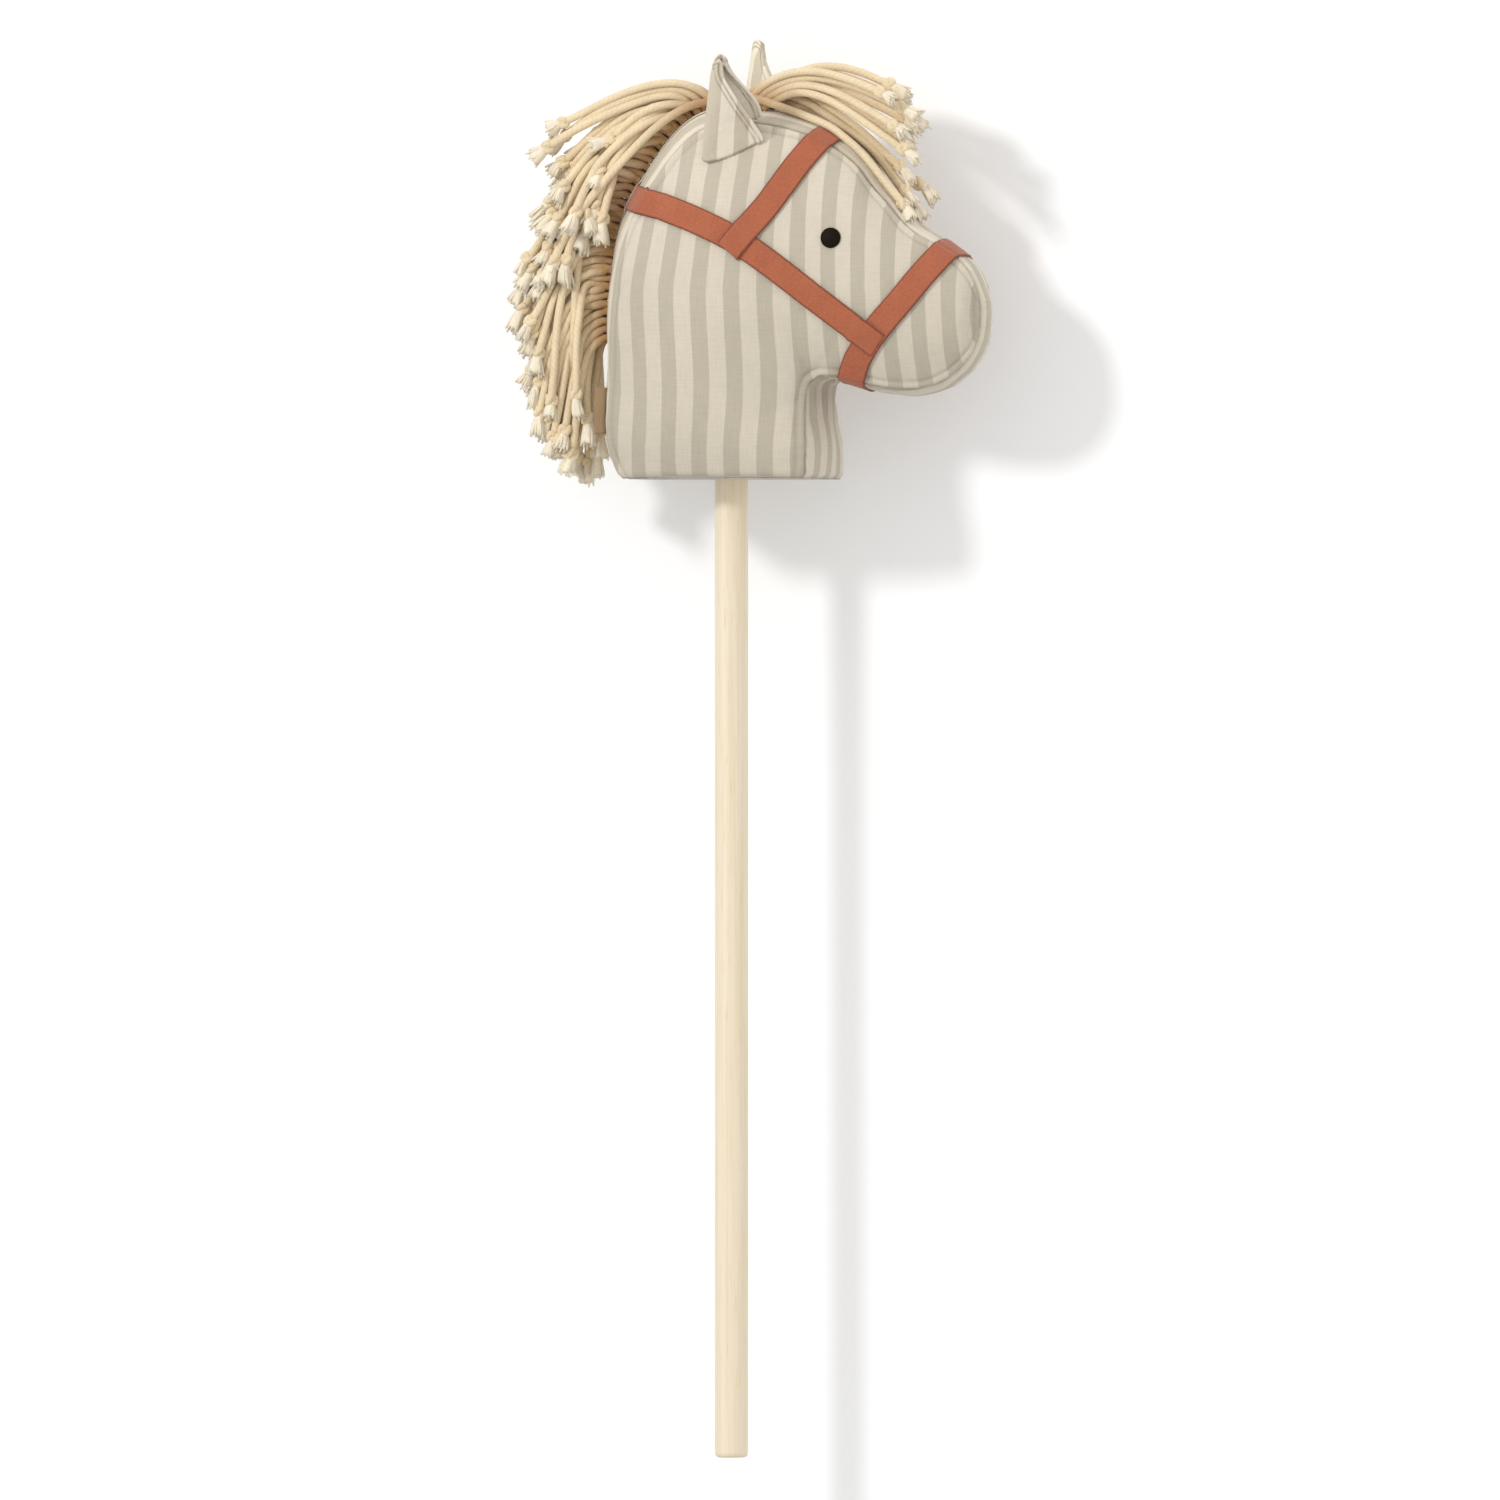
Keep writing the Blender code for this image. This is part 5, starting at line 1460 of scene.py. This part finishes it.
def mane_paths(rng, covered):
    """Locks that sweep back off the nape, cords that fall close behind it and short ones between."""
    paths = []
    locks = {}
    for k, (share, t) in enumerate(even_stations(MANE_FROM, MANE_TO, 33)):
        x, z, height = mane_end(share)
        for lane in (RIGHT, LEFT):
            if k % 3 == 0:
                drift = wander(rng, 0.004) + ACROSS * lane * rng.uniform(0.002, 0.019)
                locks[lane] = rng.uniform(0.76, 1.0), rng.uniform(0.8, 1.06), rng.uniform(0.018, 0.034), drift
            reach, rise, drop, drift = locks[lane]
            root, out = cord_root(covered, t, lane * rng.uniform(0.0014, 0.0040))
            reach *= rng.uniform(0.93, 1.05)
            lift = out * (height * rise * rng.uniform(0.96, 1.04))
            end = root + Vector((x * reach, 0, z * reach)) * MM + drift + wander(rng, 0.0022)
            end.z = max(end.z, HEAD_FLOOR + MANE_LOWEST + 0.003 * (k % 3))
            fall = Vector((-0.3, 0, -1)).normalized() * drop * (1.25 - share)
            paths.append(bezier([root, root + lift * 0.55, root + lift + drift * 0.3 + ACROSS * lane * 0.003,
                                 end - fall + wander(rng, 0.002), end]))
    for k, (_, t) in enumerate(even_stations(FRONT_FROM, MANE_TO, 16)):
        lane = RIGHT if k % 2 else LEFT
        root, out = cord_root(covered, t, lane * rng.uniform(0.0030, 0.0048))
        x, z, y = FRONT_LOCKS[k // 2 % len(FRONT_LOCKS)]
        end = Vector((x, lane * y, z)) * MM + UP * HEAD_FLOOR + wander(rng, 0.0035)
        lift = out * rng.uniform(0.016, 0.024)
        paths.append(bezier([
            root, root + lift * 0.8, root + lift + Vector((-0.012, 0, 0)) + ACROSS * lane * y * 0.5 * MM,
            end + Vector((0.012, 0, 0.040)), end + Vector((0.002, 0, 0.014)), end]))
    for k, (share, t) in enumerate(even_stations(HANG_FROM, HANG_TO, 12)):
        lane = RIGHT if k % 2 else LEFT
        root, out = cord_root(covered, t, lane * rng.uniform(0.0020, 0.0044))
        end = Vector((rng.uniform(-0.122, -0.097), lane * rng.uniform(0.004, 0.020),
                      HEAD_FLOOR + rng.uniform(0.014, 0.050) + 0.035 * share))
        lift = out * rng.uniform(0.020, 0.030)
        above, beside = (Vector((end.x, end.y, z)) for z in (root.z + 0.006, root.z * 0.5 + end.z * 0.5))
        paths.append(bezier([root, root + lift * 0.7, root + lift, above, beside + wander(rng, 0.004), end]))
    for share, t in even_stations(MANE_FROM + 0.1, MANE_TO - 0.1, 16):
        x, z, height = mane_end(share)
        root, out = cord_root(covered, t, rng.uniform(-0.003, 0.003))
        reach = rng.uniform(0.50, 0.72)
        lift = out * (height * rng.uniform(0.6, 0.8))
        end = root + Vector((x * reach, 0, z * reach - 6)) * MM + ACROSS * rng.uniform(-0.020, 0.020)
        paths.append(bezier([root, root + lift * 0.6, root + lift + wander(rng, 0.003),
                             end + UP * 0.014 + wander(rng, 0.003), end]))
    return paths


def forelock_paths(rng, covered):
    """Cords that arch forward from between the ears and fall over the brow."""
    paths = []
    for k, (_, t) in enumerate(even_stations(FORELOCK_FROM, FORELOCK_TO, FORELOCK_ROWS)):
        for lane in range(FORELOCK_LANES):
            y = (lane - (FORELOCK_LANES - 1) / 2) * 0.0066 + rng.uniform(-0.0006, 0.0006)
            root, out = cord_root(covered, t, y)
            fan = ((k * FORELOCK_LANES + lane) * 0.618) % 1
            x, z = keyed(FORELOCK_ENDS, fan * (len(FORELOCK_ENDS) - 1))
            reach = rng.uniform(0.9, 1.0)
            end = Vector((x * reach * MM, y * 2.2 + rng.uniform(-0.006, 0.006), z * MM + HEAD_FLOOR))
            arch = (Vector((0.80, 0, 0.78)) + ACROSS * y * 10) * (level(FORELOCK_ARCHES, fan) * MM)
            paths.append(bezier([root, root + out * 0.006 + arch * 0.4, root + arch,
                                 end + Vector((-0.024, 0, 0.014)) + wander(rng, 0.003), end]))
    return paths


DEPTH_NEAR = 0.006
DEPTH_FAR = 0.024


def make_cords(name, paths, rng, core, cord, tuft):
    build, tufts = Builder(), Builder()
    for path in paths:
        line = smooth_path(path)
        radius = CORD_RADIUS * rng.uniform(0.94, 1.05)
        radii = np.full(len(line), radius)
        radii[:2] = radius * 0.85
        # Painted brown shade on cords near the head, strongest at the root and gone by two fifths of the way
        # along
        away = np.array([core.find_nearest(Vector(p))[3] for p in line])
        near = np.clip((DEPTH_FAR - away) / (DEPTH_FAR - DEPTH_NEAR), 0, 1)
        depth = 0.9 * near * np.clip(1.2 - 3.0 * np.linspace(0, 1, len(line)), 0, 1)
        add_tube(build, line, radii, CORD_SIDES, rng.random(), 0.012, depth)
        add_end(build, tufts, line, rng, radius)
    return build.finish(name + "_cords", cord, 1e-7), tufts.finish(name + "_tufts", tuft, 1e-7)


def lay_tape(name, layers, start, end, look):
    """The cloth tape that the cords are sewn to, along the middle of the gusset."""
    steps = round((end - start) * 14)
    rays = []
    for k in range(steps + 1):
        place, out = top_line(start + (end - start) * k / steps)
        rays.append((place - out * TAPE_WIDTH, out, ACROSS))
    return lay_ribbon(name, layers, rays, look, width=TAPE_WIDTH)


def put_on(made, node, slot):
    """Hides the solid model's part for the node and gives the piece back; the slot is not used."""
    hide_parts(node)
    return made


def make_sleeve(cloth, cord):
    """The cloth sleeve round the stick inside the head, drawn into a groove, and the cord that ties it."""
    inner = STICK_RADIUS + 0.0003
    outer = inner + CLOTH
    groove = 0.0015
    outside = [(outer, HEAD_FLOOR + 0.0005), (outer + 0.0002, NECK - 0.008), (outer - groove, NECK),
               (outer + 0.0003, NECK + 0.008), (outer, CEILING), (0.0001, CEILING + 0.0013)]
    inside = [(inner, HEAD_FLOOR + 0.0005), (inner, NECK - 0.0027), (inner - groove, NECK),
              (inner, NECK + 0.0027), (inner, CEILING - 0.0002), (0.0001, CEILING)]
    sleeve = turned_piece("stick_sock", outside + inside[::-1], cloth)
    ring = [(outer + 0.0003 + TIE_RADIUS * math.cos(a), NECK + TIE_RADIUS * math.sin(a))
            for a in np.linspace(0, 2 * math.pi, 11)]
    return sleeve, turned_piece("sock_tie", ring[:-1], cord)


def make_covers():
    """The head's covers and filling, the outer covers' points and the plain cloth."""
    striped = cotton("striped_cotton_cloth", colour(207, 197, 179), colour(182, 173, 155))
    # The gusset's cloth is the same striped cotton painted lighter, as painted light
    gusset_cloth_painted_lighter = cotton("gusset_cotton_painted_lighter", colour(219, 209, 190), colour(190, 180, 161))
    plain = cotton("plain_cotton_cloth", colour(222, 212, 194), colour(206, 195, 175), striped=False)
    right, right_skin = make_panel("right_cover", RIGHT, striped)
    left, left_skin = make_panel("left_cover", LEFT, striped)
    gusset, gusset_skin = make_gusset(gusset_cloth_painted_lighter)
    base = make_base(plain)
    filling = make_filling(flecked_look("white_fill", 0.95, 300, colour(238, 238, 234)))
    pieces = [(right, "right_side_panel", "striped_cotton"), (left, "left_side_panel", "striped_cotton"),
              (gusset, "center_gusset", "striped_cotton"), (base, "base_panel", "plain_cotton"),
              (filling, "stuffing", "polyester_fill")]
    return pieces, [right_skin, left_skin, gusset_skin], plain


def make_hair(layers, plain, cord):
    """The mane and the forelock, each a row of cords sewn to a tape."""
    tapes = [lay_tape("mane_tape", layers, MANE_FROM - TAPE_END, MANE_TO + TAPE_END, plain),
             lay_tape("forelock_tape", layers, FORELOCK_FROM - TAPE_END, FORELOCK_TO + TAPE_END, plain)]
    # The second colour is painted shade for the grooves of the twist
    tuft = cord_look("cotton_tuft", colour(240, 229, 206), colour(222, 196, 154))
    covered = tree_of(layers)
    core = tree_of([panel_points(RIGHT, 0, 24, 4), panel_points(LEFT, 0, 24, 4), gusset_points(0, 10, 4, 24)])
    for node, seed, routes, rounds, strip in (("mane", 7, mane_paths, 16, tapes[0]),
                                              ("forelock", 11, forelock_paths, 14, tapes[1])):
        rng = random.Random(seed)
        paths = relaxed(routes(rng, covered), core, covered, rounds)
        for made in (*make_cords(node, paths, rng, core, cord, tuft), strip):
            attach(put_on(made, node, "plain_cotton" if made == strip else "cream_cord"), "head")


def main():
    make_camera()
    make_stage()
    pieces, skins, plain = make_covers()
    head = tree_of(skins)
    layers = list(skins)
    for made, node in zip(make_bridle(layers, ribbon_look()), ("noseband", "headstall", "browband")):
        pieces.append((made, node, "terracotta_ribbon"))
    dark = flecked_look("dark_brown_eye", 0.5, 1800, colour(17, 10, 4), colour(33, 22, 11), 0.06)
    for name, side in (("right", RIGHT), ("left", LEFT)):
        pieces.append((make_eye(name + "_eye_button", side, head, dark), name + "_eye", "dark_eye"))
    tape = cotton("tab_tape", colour(158, 132, 100), colour(128, 100, 70), striped=False)
    pieces.append((make_tab(tape), "back_tab", "plain_cotton"))
    # The second colour is painted shade, in the twist's grooves and in the hair near the head
    cord = cord_look("cotton_cord", colour(230, 211, 176), colour(170, 127, 78))
    sleeve, tie = make_sleeve(plain, cord)
    pieces += [(sleeve, "stick_sleeve", "plain_cotton"), (tie, "sleeve_tie", "cream_cord")]
    for row in pieces:
        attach(put_on(*row), "head")

    # The ears' cloth is the striped cotton painted lighter, as painted light
    ear_cloth_painted_lighter = cotton("ear_cotton_painted_lighter", colour(232, 222, 202), colour(200, 189, 168))
    for name, side, turn in (("right", RIGHT, RIGHT_EAR_REST), ("left", LEFT, 0.0)):
        cover, lining, grid = make_ear(side, name, turn, head, ear_cloth_painted_lighter, plain)
        for made in (put_on(cover, name + "_ear", "striped_cotton"),
                     put_on(lining, name + "_ear_lining", "plain_cotton")):
            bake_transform(made)

    make_hair(layers, plain, cord)
    nylon = flecked_look("white_plastic", 0.4, 900, colour(230, 230, 226))
    for node, look in (("stick", wood_look()), ("right_eye_washer", nylon), ("left_eye_washer", nylon)):
        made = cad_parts[node]
        made.data.materials.clear()
        made.data.materials.append(look)


main()
